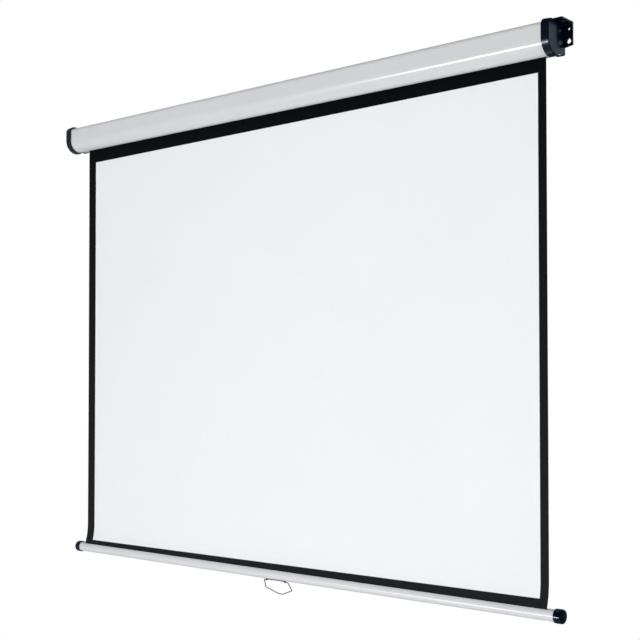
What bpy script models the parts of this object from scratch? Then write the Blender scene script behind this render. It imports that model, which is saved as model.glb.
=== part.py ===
"""Pull-down projection screen, hung from a wall or ceiling, with its fabric drawn down.

A metal case with two moulded end caps holds a spring roller. The fabric runs off the back of the
roller, out through a slot in the case floor, and ends in a round weight bar with a wire pull handle.
X runs to the right along the roller, Y runs into the wall, Z is up, all in metres. The wall is the
plane Y = 0, and Z = 0 is the line of the two wall screws through the mounting ears.
"""

import math

import bmesh
import bpy
from mathutils import Matrix, Vector

MM = 0.001
GAP = 0.3 * MM
RUNNING_GAP = 0.2 * MM
SHARP_ANGLE = math.radians(32)
RIGHT = 1
LEFT = -1

# Case: a roll-formed tube, D-shaped in section, open along its floor for the fabric. The floor is
# lowest under the nose and rises to the heel, where the back wall turns forward
CASE_FRONT = -67.5 * MM
CASE_BACK = -5.0 * MM
CASE_TOP = 8.7 * MM
CASE_FLOOR = -58.2 * MM
CASE_HEEL = -52.5 * MM
CASE_NOSE_RADIUS = 30.0 * MM
CASE_BROW_RADIUS = 12.0 * MM
CASE_BACK_RADIUS = 4.0 * MM
CASE_HEEL_RADIUS = 1.5 * MM
CASE_WALL = 1.0 * MM
CASE_HALF = 783.5 * MM
SLOT_FRONT = -31.5 * MM
SLOT_BACK = -11.0 * MM
SLOT_LIP = 4.0 * MM

# End caps: moulded shells that slip over the tube, each with a two-way mounting ear
CAP_INNER = 769.0 * MM
CAP_OUTER = 787.0 * MM
CAP_PROUD = 5.0 * MM
CAP_FLOOR_PROUD = 3.3 * MM
CAP_BACK_PROUD = 3.0 * MM
CAP_END_WALL = 3.2 * MM
CAP_EDGE_RADIUS = 2.6 * MM
CAP_RIM_EDGE_SHARE = 0.25
CAP_MOUTH = (-31.2 * MM, -9.0 * MM)
CAP_FOOT = -54.0 * MM
EAR_OUTER = 804.0 * MM
EAR_TOP = 14.0 * MM
EAR_BOTTOM = -37.5 * MM
EAR_BOTTOM_RISE = 3.2 * MM
EAR_FRONT = -48.0 * MM
EAR_PLATE = 3.5 * MM
EAR_CORNER = 3.5 * MM
EAR_FRONT_CHAMFER = 1.0 * MM
EAR_BACK_RADIUS = 1.5 * MM
EAR_ROOT_RADIUS = 7.0 * MM
POCKET_FRONT = -41.0 * MM
POCKET_DEPTH = 1.6 * MM
POCKET_FILLET = 4.0 * MM
EAR_HOLE_X = 795.5 * MM
WALL_HOLE_RADIUS = 2.6 * MM
HANGER_RADIUS = 4.8 * MM
HANGER_Z = -25.7 * MM
HANGER_TIP_RADIUS = 1.4 * MM
HANGER_TIP_RISE = 5.4 * MM
CEILING_SLOT_Y = -22.0 * MM
CEILING_SLOT_LENGTH = 12.0 * MM
CEILING_SLOT_RADIUS = 2.3 * MM
RIB_DEPTH = 4.0 * MM
RIB_HALF_THICKNESS = 1.0 * MM
TOP_RIBS_Y = (-48.0 * MM, -24.0 * MM)
FRONT_RIB_Z = -14.0 * MM
BACK_RIB_Z = -44.0 * MM
SCREW_BLOCK_DEPTH = 8.0 * MM
SCREW_BLOCK_HALF = 4.0 * MM

# Screw through the back of each cap and the tube, into a block inside the cap
SCREW_X = 777.0 * MM
SCREW_Z = -22.0 * MM
SCREW_HOLE_RADIUS = 1.8 * MM
SCREW_RADIUS = 1.45 * MM
SCREW_LENGTH = 11.0 * MM
SCREW_HEAD_RADIUS = 3.0 * MM
SCREW_HEAD_BASE = -1.5 * MM

# Roller, its fabric wraps, and the spindle that its spring end turns on
AXIS_Y = -32.8 * MM
AXIS_Z = -25.0 * MM
ROLLER_RADIUS = 15.5 * MM
ROLLER_BORE = 14.5 * MM
ROLLER_HALF = 765.0 * MM
WRAP_RADIUS = 16.3 * MM
SPINDLE_RADIUS = 3.0 * MM
SPINDLE_END = -548.0 * MM
TONGUE_WIDTH = 6.0 * MM
TONGUE_THICKNESS = 3.0 * MM
TONGUE_ENDS = (-783.0 * MM, -756.0 * MM)
BOSS_RADIUS = 8.0 * MM
BOSS_INNER = 774.0 * MM

# Right end of the roller: a pin in the end plug turns in a bush in the cap's boss
GUDGEON_ENDS = (748.0 * MM, 781.0 * MM)
IDLE_PLUG_BODY = 19.5 * MM
IDLE_PLUG_FLANGE = 1.5 * MM
BUSH_RADIUS = 5.0 * MM
BUSH_LENGTH = 8.0 * MM
BUSH_FLANGE_RADIUS = 6.5 * MM
BUSH_FLANGE = 2.0 * MM

# Lock: two pawls on the roller, which fall into the notches of a wheel fixed on the spindle
WHEEL_FACES = (-762.0 * MM, -757.0 * MM)
WHEEL_RADIUS = 6.0 * MM
NOTCH_RADIUS = 3.4 * MM
NOTCH_FACE = math.radians(129)
NOTCH_FLOOR = math.radians(30)
NOTCH_RAMP = math.radians(50)
NOTCH_RAKE = math.radians(8.5)
PAWL_FACES = (-761.3 * MM, -757.7 * MM)
PAWL_PIN_CIRCLE = 10.5 * MM
PAWL_PIN_RADIUS = 1.2 * MM
PAWL_HUB_RADIUS = 2.4 * MM
PAWL_NOSE_RADIUS = 0.9 * MM
PAWL_LENGTH = 6.5 * MM
PAWL_LIFTED = math.radians(-132.5)
PIN_HEAD_RADIUS = 2.1 * MM
PIN_HEAD = 0.8 * MM
PIN_LENGTH = 16.0 * MM

# Torsion spring on the spindle, between the spigots of the end plug and of its anchor
SPRING_RADIUS = 9.0 * MM
SPRING_WIRE_RADIUS = 1.1 * MM
SPRING_ENDS = (-740.0 * MM, -564.0 * MM)
SPRING_TURNS = 20
SPRING_SIDES = 12
PLUG_FACE = -754.0 * MM
PLUG_BODY = 12.0 * MM
PLUG_LENGTH = 26.0 * MM
SPIGOT_RADIUS = 7.5 * MM
SPIGOT_CHAMFER = 1.0 * MM
ANCHOR_X = -566.0 * MM
ANCHOR_RADIUS = 11.0 * MM
ANCHOR_COLLAR = (4.0 * MM, 10.0 * MM)
ANCHOR_SPIGOT = 13.0 * MM

# Fabric: drawn down in the plane behind the roller, curling forward to the bar at its foot
FABRIC_HALF = 750.0 * MM
FABRIC_Y = -16.0 * MM
FABRIC_THICKNESS = 0.4 * MM
HEM_HEIGHT = 30.0 * MM
CURL_HEIGHT = 55.0 * MM

# Weight bar: a slotted round tube with a cap on each end
BAR_Y = -20.0 * MM
BAR_Z = -1198.8 * MM
BAR_RADIUS = 12.7 * MM
BAR_WALL = 1.2 * MM
BAR_HALF = 781.5 * MM
BAR_TILT = math.radians(24)
BAR_SLOT_HALF = math.radians(6)
BAR_CAP_INNER = 768.0 * MM
BAR_CAP_OUTER = 786.0 * MM
BAR_CAP_RADIUS = 15.0 * MM
BAR_CAP_ROUND = 3.5 * MM
BAR_CAP_CHAMFER = 0.8 * MM
BAR_CAP_PLUG = 10.0 * MM
BAR_CAP_PLUG_WALL = 2.0 * MM
WELT_RADIUS = 2.4 * MM
POCKET_RADIUS = 3.0 * MM
POCKET_CLEARANCE = 0.5 * MM

# Pull handle: a wire bail hung in the two eyes of a riveted strap
HANDLE_X = -7.0 * MM
PIVOT_DROP = 2.7 * MM
STRAP_THICKNESS = 0.8 * MM
STRAP_WIDTH = 9.0 * MM
EYE_X = 31.0 * MM
EYE_RADIUS = 2.3 * MM
EYE_THICKNESS = 1.4 * MM
RIVET_X = 18.0 * MM
RIVET_RADIUS = 1.6 * MM
RIVET_HOLE_RADIUS = 1.9 * MM
RIVET_HEAD_RADIUS = 2.7 * MM
RIVET_HEAD = 1.2 * MM
RIVET_BULB_RADIUS = 2.4 * MM
RIVET_BULB = 3.2 * MM
BAIL_WIRE_RADIUS = 1.1 * MM
BAIL_TILT = math.radians(27)
BAIL_BEND_RADIUS = 3.0 * MM
BAIL_END = 27.0 * MM
BAIL_HOOK = 39.5 * MM
BAIL_SHOULDER = (43.7 * MM, -23.5 * MM)
BAIL_GRIP = (7.0 * MM, -38.7 * MM)


def clear_scene():
    for thing in list(bpy.data.objects):
        bpy.data.objects.remove(thing, do_unlink=True)


def collection(name):
    made = bpy.data.collections.new(name)
    bpy.context.scene.collection.children.link(made)
    return made


clear_scene()
SCREEN = collection("projector_screen")
CUTTERS = collection("cutters")


def finish(name, red, green, blue, roughness, metallic=0.0):
    """A plain finish in linear colour."""
    made = bpy.data.materials.new(name)
    made.use_nodes = True
    shader = made.node_tree.nodes["Principled BSDF"]
    shader.inputs["Base Color"].default_value = (red, green, blue, 1.0)
    shader.inputs["Roughness"].default_value = roughness
    shader.inputs["Metallic"].default_value = metallic
    made.diffuse_color = (red, green, blue, 1.0)
    return made


WHITE_POWDER_COAT = finish("white_powder_coat", 0.64, 0.65, 0.67, 0.35)
BLACK_ABS = finish("black_moulded_abs", 0.012, 0.014, 0.022, 0.3)
ZINC_STEEL = finish("zinc_plated_steel", 0.55, 0.55, 0.53, 0.35, 1.0)
SPRING_STEEL = finish("spring_steel", 0.16, 0.16, 0.17, 0.4, 1.0)
ACETAL = finish("natural_acetal", 0.75, 0.74, 0.70, 0.4)
SCREEN_CLOTH = finish("matt_white_screen_cloth", 0.86, 0.87, 0.88, 0.9)
BLACK_CLOTH = finish("black_screen_border", 0.008, 0.009, 0.010, 0.8)
BAR_LACQUER = finish("white_lacquered_aluminium", 0.66, 0.66, 0.68, 0.3)
DARK_WIRE = finish("blackened_steel_wire", 0.05, 0.05, 0.055, 0.4, 0.8)


def place(name, mesh, surface, where=SCREEN):
    """Adds an object for this mesh, with round parts shaded smooth and true corners kept."""
    made = bpy.data.objects.new(name, mesh)
    where.objects.link(made)
    if surface is not None:
        mesh.materials.append(surface)
    return made


def mesh_from(form, name):
    bmesh.ops.recalc_face_normals(form, faces=form.faces)
    mesh = bpy.data.meshes.new(name)
    form.to_mesh(mesh)
    form.free()
    mesh.shade_smooth()
    mesh.set_sharp_from_angle(angle=SHARP_ANGLE)
    return mesh


def cutter(thing):
    """Turns an object into a cutting tool: drawn as wire and left out of the model."""
    for owner in list(thing.users_collection):
        owner.objects.unlink(thing)
    CUTTERS.objects.link(thing)
    thing.hide_render = True
    thing.display_type = "WIRE"
    return thing


def cut(body, tool, operation="DIFFERENCE"):
    step = body.modifiers.new(operation.lower(), "BOOLEAN")
    step.operation = operation
    step.solver = "EXACT"
    step.object = cutter(tool)


def arc(centre, radius, start, end, steps):
    """Points on an arc in the YZ plane, from angle start to end in degrees, +Y being 0."""
    points = []
    for index in range(steps + 1):
        angle = math.radians(start + (end - start) * index / steps)
        points.append((centre[0] + radius * math.cos(angle), centre[1] + radius * math.sin(angle)))
    return points


def d_section(front, back, top, floor, heel, radii):
    """A D-shaped section as a closed loop of (y, z), with radii for its nose, brow, top back and heel.

    The last side of the loop is the floor, which rises from under the nose to the heel.
    """
    nose, brow, top_back, heel_round = radii
    loop = arc((front + nose, floor + nose), nose, 270, 180, 12)
    loop += arc((front + brow, top - brow), brow, 180, 90, 6)
    loop += arc((back - top_back, top - top_back), top_back, 90, 0, 4)
    loop += arc((back - heel_round, heel + heel_round), heel_round, 0, -90, 4)
    return loop


def case_section(offset=0.0):
    """The section of the case, moved outwards by offset."""
    radii = [CASE_NOSE_RADIUS, CASE_BROW_RADIUS, CASE_BACK_RADIUS, CASE_HEEL_RADIUS]
    return d_section(
        CASE_FRONT - offset,
        CASE_BACK + offset,
        CASE_TOP + offset,
        CASE_FLOOR - offset,
        CASE_HEEL - offset,
        [radius + offset for radius in radii],
    )


def case_floor(y):
    """Height of the case's floor, on the straight line from under its nose to its heel."""
    start = CASE_FRONT + CASE_NOSE_RADIUS
    end = CASE_BACK - CASE_HEEL_RADIUS
    return CASE_FLOOR + (CASE_HEEL - CASE_FLOOR) * (y - start) / (end - start)


def cap_section():
    """The section of a cap's rim: it stands further out from the case in front than at the back."""
    return d_section(
        CASE_FRONT - CAP_PROUD,
        CASE_BACK + CAP_BACK_PROUD,
        CASE_TOP + CAP_PROUD,
        CASE_FLOOR - CAP_FLOOR_PROUD,
        CASE_HEEL - CAP_BACK_PROUD,
        [
            CASE_NOSE_RADIUS + CAP_PROUD,
            CASE_BROW_RADIUS + CAP_PROUD,
            CASE_BACK_RADIUS + CAP_BACK_PROUD,
            CASE_HEEL_RADIUS + CAP_BACK_PROUD,
        ],
    )


def prism(name, outline, low, high, surface=None, where=SCREEN):
    """A flat outline in the YZ plane, drawn out along X from low to high."""
    form = bmesh.new()
    corners = [form.verts.new((low, y, z)) for y, z in outline]
    face = form.faces.new(corners)
    drawn = bmesh.ops.extrude_face_region(form, geom=[face])
    moved = [item for item in drawn["geom"] if isinstance(item, bmesh.types.BMVert)]
    bmesh.ops.translate(form, vec=(high - low, 0, 0), verts=moved)
    return place(name, mesh_from(form, name), surface, where)


def block(name, low, high, surface=None, where=SCREEN):
    """A box between two corners."""
    form = bmesh.new()
    bmesh.ops.create_cube(form, size=1.0)
    low, high = Vector(low), Vector(high)
    low, high = Vector(map(min, low, high)), Vector(map(max, low, high))
    bmesh.ops.scale(form, vec=high - low, verts=form.verts)
    bmesh.ops.translate(form, vec=(low + high) / 2, verts=form.verts)
    return place(name, mesh_from(form, name), surface, where)


def rod(name, radius, start, end, surface=None, sides=24, where=SCREEN):
    """A cylinder between two points."""
    start, end = Vector(start), Vector(end)
    along = end - start
    form = bmesh.new()
    bmesh.ops.create_cone(
        form, cap_ends=True, segments=sides, radius1=radius, radius2=radius, depth=along.length
    )
    turn = along.to_track_quat("Z", "Y").to_matrix().to_4x4()
    bmesh.ops.transform(form, matrix=Matrix.Translation((start + end) / 2) @ turn, verts=form.verts)
    return place(name, mesh_from(form, name), surface, where)


def turned(name, profile, surface, origin, closed=False, sides=32, facing=RIGHT):
    """A piece turned about X, from a profile of (radius, distance along X). Facing LEFT mirrors it."""
    form = bmesh.new()
    corners = [form.verts.new((radius, 0.0, along)) for radius, along in profile]
    for first, second in zip(corners, corners[1:]):
        form.edges.new((first, second))
    if closed:
        form.edges.new((corners[-1], corners[0]))
    mesh = bpy.data.meshes.new(name)
    form.to_mesh(mesh)
    form.free()
    made = place(name, mesh, surface)
    made.location = origin
    made.rotation_euler = (0.0, facing * math.pi / 2, 0.0)
    lathe = made.modifiers.new("lathe", "SCREW")
    lathe.axis = "Z"
    lathe.steps = sides
    lathe.render_steps = sides
    lathe.use_merge_vertices = True
    lathe.merge_threshold = 0.00001
    lathe.use_smooth_shade = True
    return made


def sheet(name, path, half_length, thickness, surface, side):
    """Thin stock bent to a path in the YZ plane and half_length long to either side of the middle."""
    form = bmesh.new()
    left_edge = [form.verts.new((-half_length, y, z)) for y, z in path]
    right_edge = [form.verts.new((half_length, y, z)) for y, z in path]
    for index in range(len(path) - 1):
        form.faces.new(
            (right_edge[index], right_edge[index + 1], left_edge[index + 1], left_edge[index])
        )
    mesh = bpy.data.meshes.new(name)
    form.to_mesh(mesh)
    form.free()
    mesh.shade_smooth()
    mesh.set_sharp_from_angle(angle=SHARP_ANGLE)
    made = place(name, mesh, surface)
    wall = made.modifiers.new("wall", "SOLIDIFY")
    wall.thickness = thickness
    wall.offset = side
    wall.use_even_offset = True
    wall.use_quality_normals = True
    return made


def case_tube():
    """Roll-formed case: its floor is open between two upturned lips."""
    front_lip = case_floor(SLOT_FRONT)
    path = [(SLOT_FRONT, front_lip + SLOT_LIP), (SLOT_FRONT, front_lip)]
    path += case_section()
    path += [(SLOT_BACK, CASE_HEEL), (SLOT_BACK, CASE_HEEL + SLOT_LIP)]
    tube = sheet("case_tube", path, CASE_HALF, CASE_WALL, WHITE_POWDER_COAT, side=-1.0)
    for side in (LEFT, RIGHT):
        hole = rod(
            f"case_screw_hole_{side}",
            SCREW_HOLE_RADIUS,
            (side * SCREW_X, 0.0, SCREW_Z),
            (side * SCREW_X, 2 * CASE_BACK, SCREW_Z),
            sides=16,
        )
        cut(tube, hole)


def hanger(name, side):
    """Cutter for the hanging hole: round for a screw's head, and drawn in above it for the shank."""
    flank = math.degrees(math.asin((HANGER_RADIUS - HANGER_TIP_RADIUS) / HANGER_TIP_RISE))
    outline = arc((0.0, HANGER_Z), HANGER_RADIUS, 180 - flank, 360 + flank, 16)
    outline += arc((0.0, HANGER_Z + HANGER_TIP_RISE), HANGER_TIP_RADIUS, flank, 180 - flank, 4)
    made = prism(name, outline, -EAR_PLATE, EAR_PLATE)
    made.matrix_world = Matrix.Translation((side * EAR_HOLE_X, -EAR_PLATE / 2, 0.0)) @ Matrix.Rotation(
        -math.pi / 2, 4, "Z"
    )
    return made


def ear(name, side):
    """Mounting ear outboard of the cap: a top plate for a ceiling and a back plate for a wall.

    The back plate's lower edge rises towards its outer corner.
    """
    inner = side * (CAP_OUTER - CAP_END_WALL)
    outer = side * EAR_OUTER
    root = EAR_PLATE + EAR_ROOT_RADIUS
    profile = [(EAR_FRONT, EAR_TOP - EAR_PLATE)]
    profile += [(EAR_FRONT, EAR_TOP - EAR_FRONT_CHAMFER), (EAR_FRONT + EAR_FRONT_CHAMFER, EAR_TOP)]
    profile += arc((-EAR_BACK_RADIUS, EAR_TOP - EAR_BACK_RADIUS), EAR_BACK_RADIUS, 90, 0, 3)
    profile += [(0.0, EAR_BOTTOM), (-EAR_PLATE, EAR_BOTTOM)]
    profile += arc((-root, EAR_TOP - root), EAR_ROOT_RADIUS, 0, 90, 6)
    made = prism(name, profile, inner, outer)
    corners = made.modifiers.new("corners", "BEVEL")
    corners.width = EAR_CORNER
    corners.segments = 4
    corners.limit_method = "WEIGHT"
    weights = made.data.attributes.new("bevel_weight_edge", "FLOAT", "EDGE")
    for edge in made.data.edges:
        ends = [made.data.vertices[index].co for index in edge.vertices]
        outboard = all(abs(end.x) > EAR_OUTER - 1e-5 for end in ends)
        across_back = abs(ends[0].z - EAR_BOTTOM) < 1e-5 and abs(ends[1].z - EAR_BOTTOM) < 1e-5
        across_front = all(end.y < EAR_FRONT + 1e-5 for end in ends)
        if outboard and (across_back or across_front):
            weights.data[edge.index].value = 1.0
    for corner in made.data.vertices:
        if abs(corner.co.x) > EAR_OUTER - 1e-5 and corner.co.z < EAR_BOTTOM + 1e-5:
            corner.co.z += EAR_BOTTOM_RISE
    return made


def ear_pocket(name, side):
    """Cutter for the hollow of the ear: under the top plate, before the back plate, beside the end wall."""
    top, back = EAR_TOP - EAR_PLATE, -EAR_PLATE
    outline = [(POCKET_FRONT, EAR_BOTTOM), (POCKET_FRONT, top)]
    outline += arc((back - POCKET_FILLET, top - POCKET_FILLET), POCKET_FILLET, 90, 0, 4)
    outline.append((back, EAR_BOTTOM))
    return prism(name, outline, side * (CAP_OUTER - POCKET_DEPTH), side * (EAR_OUTER + MM))


def end_cap(side):
    """One moulded end cap: rim, end wall, tube ribs, roller boss and mounting ear."""
    name = "right_end_cap" if side == RIGHT else "left_end_cap"
    inner, outer = side * CAP_INNER, side * CAP_OUTER
    floor = side * (CAP_OUTER - CAP_END_WALL)
    cap = prism(name, cap_section(), inner, outer, BLACK_ABS)
    edge = cap.modifiers.new("outer_edge", "BEVEL")
    edge.width = CAP_EDGE_RADIUS
    edge.segments = 4
    edge.limit_method = "WEIGHT"
    weights = cap.data.attributes.new("bevel_weight_edge", "FLOAT", "EDGE")
    for line in cap.data.edges:
        if all(abs(cap.data.vertices[index].co.x - outer) < 1e-5 for index in line.vertices):
            weights.data[line.index].value = 1.0
        if all(abs(cap.data.vertices[index].co.x - inner) < 1e-5 for index in line.vertices):
            weights.data[line.index].value = CAP_RIM_EDGE_SHARE
    cut(cap, prism(f"{name}_hollow", case_section(GAP), inner - side * 5 * MM, floor))
    cut(cap, prism(f"{name}_mouth", cap_mouth(), inner - side * MM, outer + side * MM))
    cut(cap, ear(f"{name}_ear", side), "UNION")
    cut(cap, ear_pocket(f"{name}_pocket", side))
    cut(cap, hanger(f"{name}_hanger", side))
    wall_hole = rod(
        f"{name}_wall_hole",
        WALL_HOLE_RADIUS,
        (side * EAR_HOLE_X, MM, 0.0),
        (side * EAR_HOLE_X, -EAR_PLATE - MM, 0.0),
    )
    cut(cap, wall_hole)
    cut(cap, ceiling_slot(f"{name}_ceiling_slot", side))
    boss = rod(
        f"{name}_boss",
        BOSS_RADIUS,
        (side * BOSS_INNER, AXIS_Y, AXIS_Z),
        (floor + side * MM, AXIS_Y, AXIS_Z),
        sides=32,
    )
    cut(cap, boss, "UNION")
    for number, (low, high) in enumerate(tube_ribs()):
        rib = block(f"{name}_rib_{number}", (inner - side * 3 * MM, *low), (floor + side * MM, *high))
        cut(cap, rib, "UNION")
    screw_hole = rod(
        f"{name}_screw_hole",
        SCREW_HOLE_RADIUS,
        (side * SCREW_X, 0.0, SCREW_Z),
        (side * SCREW_X, -2 * SCREW_LENGTH, SCREW_Z),
        sides=16,
    )
    cut(cap, screw_hole)
    return cap


def cap_mouth():
    """Outline of what is cut from under a cap: its floor behind the nose, for the fabric's slot.

    The back wall ends in a short foot, and the end wall stops level with the case's floor.
    """
    front, back = CAP_MOUTH
    below, behind = CASE_FLOOR - 2 * CAP_PROUD, EAR_PLATE
    return [
        (front, below),
        (front, case_floor(front) + GAP),
        (back, case_floor(back) + GAP),
        (back, CAP_FOOT),
        (behind, CAP_FOOT),
        (behind, below),
    ]


def ceiling_slot(name, side):
    """Cutter for the round-ended slot through the top plate, for a screw up into a ceiling."""
    half = CEILING_SLOT_LENGTH / 2
    outline = arc((0.0, half), CEILING_SLOT_RADIUS, 0, 180, 8)
    outline += arc((0.0, -half), CEILING_SLOT_RADIUS, 180, 360, 8)
    made = prism(name, outline, -EAR_PLATE, EAR_PLATE)
    middle = Matrix.Translation((side * EAR_HOLE_X, CEILING_SLOT_Y, EAR_TOP - EAR_PLATE / 2))
    upright = Matrix(((0, 1, 0, 0), (0, 0, 1, 0), (1, 0, 0, 0), (0, 0, 0, 1)))
    made.matrix_world = middle @ upright
    return made


def tube_ribs():
    """Ribs inside the tube that the cap's end wall carries: two at the top, one at the front, two behind."""
    inside = CASE_WALL + GAP
    top = CASE_TOP - inside
    front = CASE_FRONT + inside
    back = CASE_BACK - inside
    thin = RIB_HALF_THICKNESS
    ribs = [((y - thin, top - RIB_DEPTH), (y + thin, top)) for y in TOP_RIBS_Y]
    ribs.append(((front, FRONT_RIB_Z - thin), (front + RIB_DEPTH, FRONT_RIB_Z + thin)))
    ribs.append(((back - RIB_DEPTH, BACK_RIB_Z - thin), (back, BACK_RIB_Z + thin)))
    ribs.append(
        ((back - SCREW_BLOCK_DEPTH, SCREW_Z - SCREW_BLOCK_HALF), (back, SCREW_Z + SCREW_BLOCK_HALF))
    )
    return ribs


def cap_screw(side):
    """Self-tapping pan-head screw, driven through the cap's back and the tube into the cap's block."""
    name = "right_cap_screw" if side == RIGHT else "left_cap_screw"
    head = SCREW_HEAD_RADIUS
    profile = [(0.0, head / 2), (0.53 * head, 0.47 * head), (0.93 * head, 0.27 * head), (head, 0.0)]
    profile += [(SCREW_RADIUS, 0.0), (SCREW_RADIUS, SCREW_RADIUS - SCREW_LENGTH), (0.0, -SCREW_LENGTH)]
    made = turned(name, profile, ZINC_STEEL, (side * SCREW_X, SCREW_HEAD_BASE, SCREW_Z), sides=20)
    made.rotation_euler = (-math.pi / 2, 0.0, 0.0)


def spring_spindle():
    """Fixed steel spindle: a flat tongue held in the left cap's boss, then a round rod in the roller."""
    spindle = rod(
        "spring_spindle",
        SPINDLE_RADIUS,
        (TONGUE_ENDS[1] - MM, AXIS_Y, AXIS_Z),
        (SPINDLE_END, AXIS_Y, AXIS_Z),
        ZINC_STEEL,
    )
    tongue = block(
        "spindle_tongue",
        (TONGUE_ENDS[0], AXIS_Y - TONGUE_WIDTH / 2, AXIS_Z - TONGUE_THICKNESS / 2),
        (TONGUE_ENDS[1], AXIS_Y + TONGUE_WIDTH / 2, AXIS_Z + TONGUE_THICKNESS / 2),
    )
    cut(spindle, tongue, "UNION")


def tongue_slot(name, low, high):
    """Cutter for the flat-sided hole that the spindle's tongue fits."""
    half_width = TONGUE_WIDTH / 2 + GAP
    half_thickness = TONGUE_THICKNESS / 2 + GAP
    return block(
        name,
        (low, AXIS_Y - half_width, AXIS_Z - half_thickness),
        (high, AXIS_Y + half_width, AXIS_Z + half_thickness),
    )


def ratchet_outline():
    """Two notches, each with a steep face that stops the pawl and a ramp that lifts it out.

    The face leans back, so that the pawl's nose clears its corner as it swings in.
    """
    points = []
    for notch in (0.0, math.pi):
        face = notch + NOTCH_FACE
        floor_end = face - NOTCH_FLOOR
        ramp_end = floor_end - NOTCH_RAMP
        round_start = face + NOTCH_RAKE - math.pi
        for step in range(9):
            angle = round_start + (ramp_end - round_start) * step / 8
            points.append((WHEEL_RADIUS, angle))
        for step in range(1, 6):
            share = step / 6
            radius = WHEEL_RADIUS + (NOTCH_RADIUS - WHEEL_RADIUS) * share
            points.append((radius, ramp_end + (floor_end - ramp_end) * share))
        for step in range(4):
            points.append((NOTCH_RADIUS, floor_end + (face - floor_end) * step / 3))
    return [
        (AXIS_Y + radius * math.cos(angle), AXIS_Z + radius * math.sin(angle)) for radius, angle in points
    ]


def ratchet_wheel():
    wheel = prism("ratchet_wheel", ratchet_outline(), *WHEEL_FACES, ZINC_STEEL)
    cut(wheel, tongue_slot("ratchet_bore", WHEEL_FACES[0] - MM, WHEEL_FACES[1] + MM))


def pawl_place(number):
    """Centre of a pawl's pin: the first stands above the roller axis, the second below it."""
    turn = math.pi * number
    return AXIS_Y - PAWL_PIN_CIRCLE * math.sin(turn), AXIS_Z + PAWL_PIN_CIRCLE * math.cos(turn), turn


def pawl(number):
    """Tapered pawl, lying clear of the wheel. It turns on its pin until its nose drops in a notch."""
    name = ("pawl_a", "pawl_b")[number]
    y, z, turn = pawl_place(number)
    flank = math.asin((PAWL_HUB_RADIUS - PAWL_NOSE_RADIUS) / PAWL_LENGTH)
    outline = arc((0.0, 0.0), PAWL_HUB_RADIUS, 90 - math.degrees(flank), 270 + math.degrees(flank), 12)
    outline += arc(
        (PAWL_LENGTH, 0.0), PAWL_NOSE_RADIUS, -90 + math.degrees(flank), 90 - math.degrees(flank), 6
    )
    made = prism(name, outline, *PAWL_FACES, ZINC_STEEL)
    hole = rod(
        f"{name}_bore",
        PAWL_PIN_RADIUS + RUNNING_GAP,
        (PAWL_FACES[0] - MM, 0.0, 0.0),
        (PAWL_FACES[1] + MM, 0.0, 0.0),
        sides=16,
    )
    cut(made, hole)
    for item in (made, hole):
        item.location = (0.0, y, z)
        item.rotation_euler = (PAWL_LIFTED + turn, 0.0, 0.0)


def pawl_pin(number):
    """Headed pin that a pawl turns on, pressed into the roller's end plug."""
    name = ("pawl_pin_a", "pawl_pin_b")[number]
    y, z, _ = pawl_place(number)
    profile = [(0.0, PIN_LENGTH), (PAWL_PIN_RADIUS, PIN_LENGTH), (PAWL_PIN_RADIUS, 0.0)]
    profile += [(PIN_HEAD_RADIUS, 0.0), (PIN_HEAD_RADIUS, -PIN_HEAD), (0.0, -PIN_HEAD)]
    turned(name, profile, ZINC_STEEL, (PAWL_FACES[0] - GAP, y, z), sides=16)


def roller_tube():
    profile = [(ROLLER_RADIUS, ROLLER_HALF), (ROLLER_RADIUS, -ROLLER_HALF)]
    profile += [(ROLLER_BORE, -ROLLER_HALF), (ROLLER_BORE, ROLLER_HALF)]
    turned("roller_tube", profile, ZINC_STEEL, (0.0, AXIS_Y, AXIS_Z), closed=True, sides=40)


def wound_fabric():
    """The turns of black border that stay wrapped on the roller when the fabric is all the way down."""
    inner = ROLLER_RADIUS + GAP
    profile = [(WRAP_RADIUS, FABRIC_HALF), (WRAP_RADIUS, -FABRIC_HALF)]
    profile += [(inner, -FABRIC_HALF), (inner, FABRIC_HALF)]
    turned("wound_fabric", profile, BLACK_CLOTH, (0.0, AXIS_Y, AXIS_Z), closed=True, sides=40)


def spring_end_plug():
    """Acetal plug that carries the pawls and turns on the spindle. Its spigot grips the spring."""
    rim = ROLLER_BORE - GAP
    bore = SPINDLE_RADIUS + RUNNING_GAP
    profile = [(bore, PLUG_LENGTH), (SPIGOT_RADIUS - SPIGOT_CHAMFER, PLUG_LENGTH)]
    profile += [(SPIGOT_RADIUS, PLUG_LENGTH - SPIGOT_CHAMFER), (SPIGOT_RADIUS, PLUG_BODY)]
    profile += [(rim, PLUG_BODY), (rim, 0.0), (bore, 0.0)]
    plug = turned("spring_end_plug", profile, ACETAL, (PLUG_FACE, AXIS_Y, AXIS_Z), closed=True, sides=36)
    for number in (0, 1):
        y, z, _ = pawl_place(number)
        hole = rod(
            f"plug_pin_hole_{number}",
            PAWL_PIN_RADIUS + RUNNING_GAP,
            (PLUG_FACE - MM, y, z),
            (PAWL_FACES[0] + PIN_LENGTH + MM, y, z),
            sides=16,
        )
        cut(plug, hole)


def spring_anchor():
    """Collar fixed on the far end of the spindle, with a spigot that holds the spring's still end."""
    bore = SPINDLE_RADIUS + RUNNING_GAP
    near, far = ANCHOR_COLLAR
    profile = [(bore, far), (ANCHOR_RADIUS, far), (ANCHOR_RADIUS, near), (SPIGOT_RADIUS, near)]
    profile += [(SPIGOT_RADIUS, SPIGOT_CHAMFER - ANCHOR_SPIGOT)]
    profile += [(SPIGOT_RADIUS - SPIGOT_CHAMFER, -ANCHOR_SPIGOT), (bore, -ANCHOR_SPIGOT)]
    turned("spring_anchor", profile, ACETAL, (ANCHOR_X, AXIS_Y, AXIS_Z), closed=True, sides=28)


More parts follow.
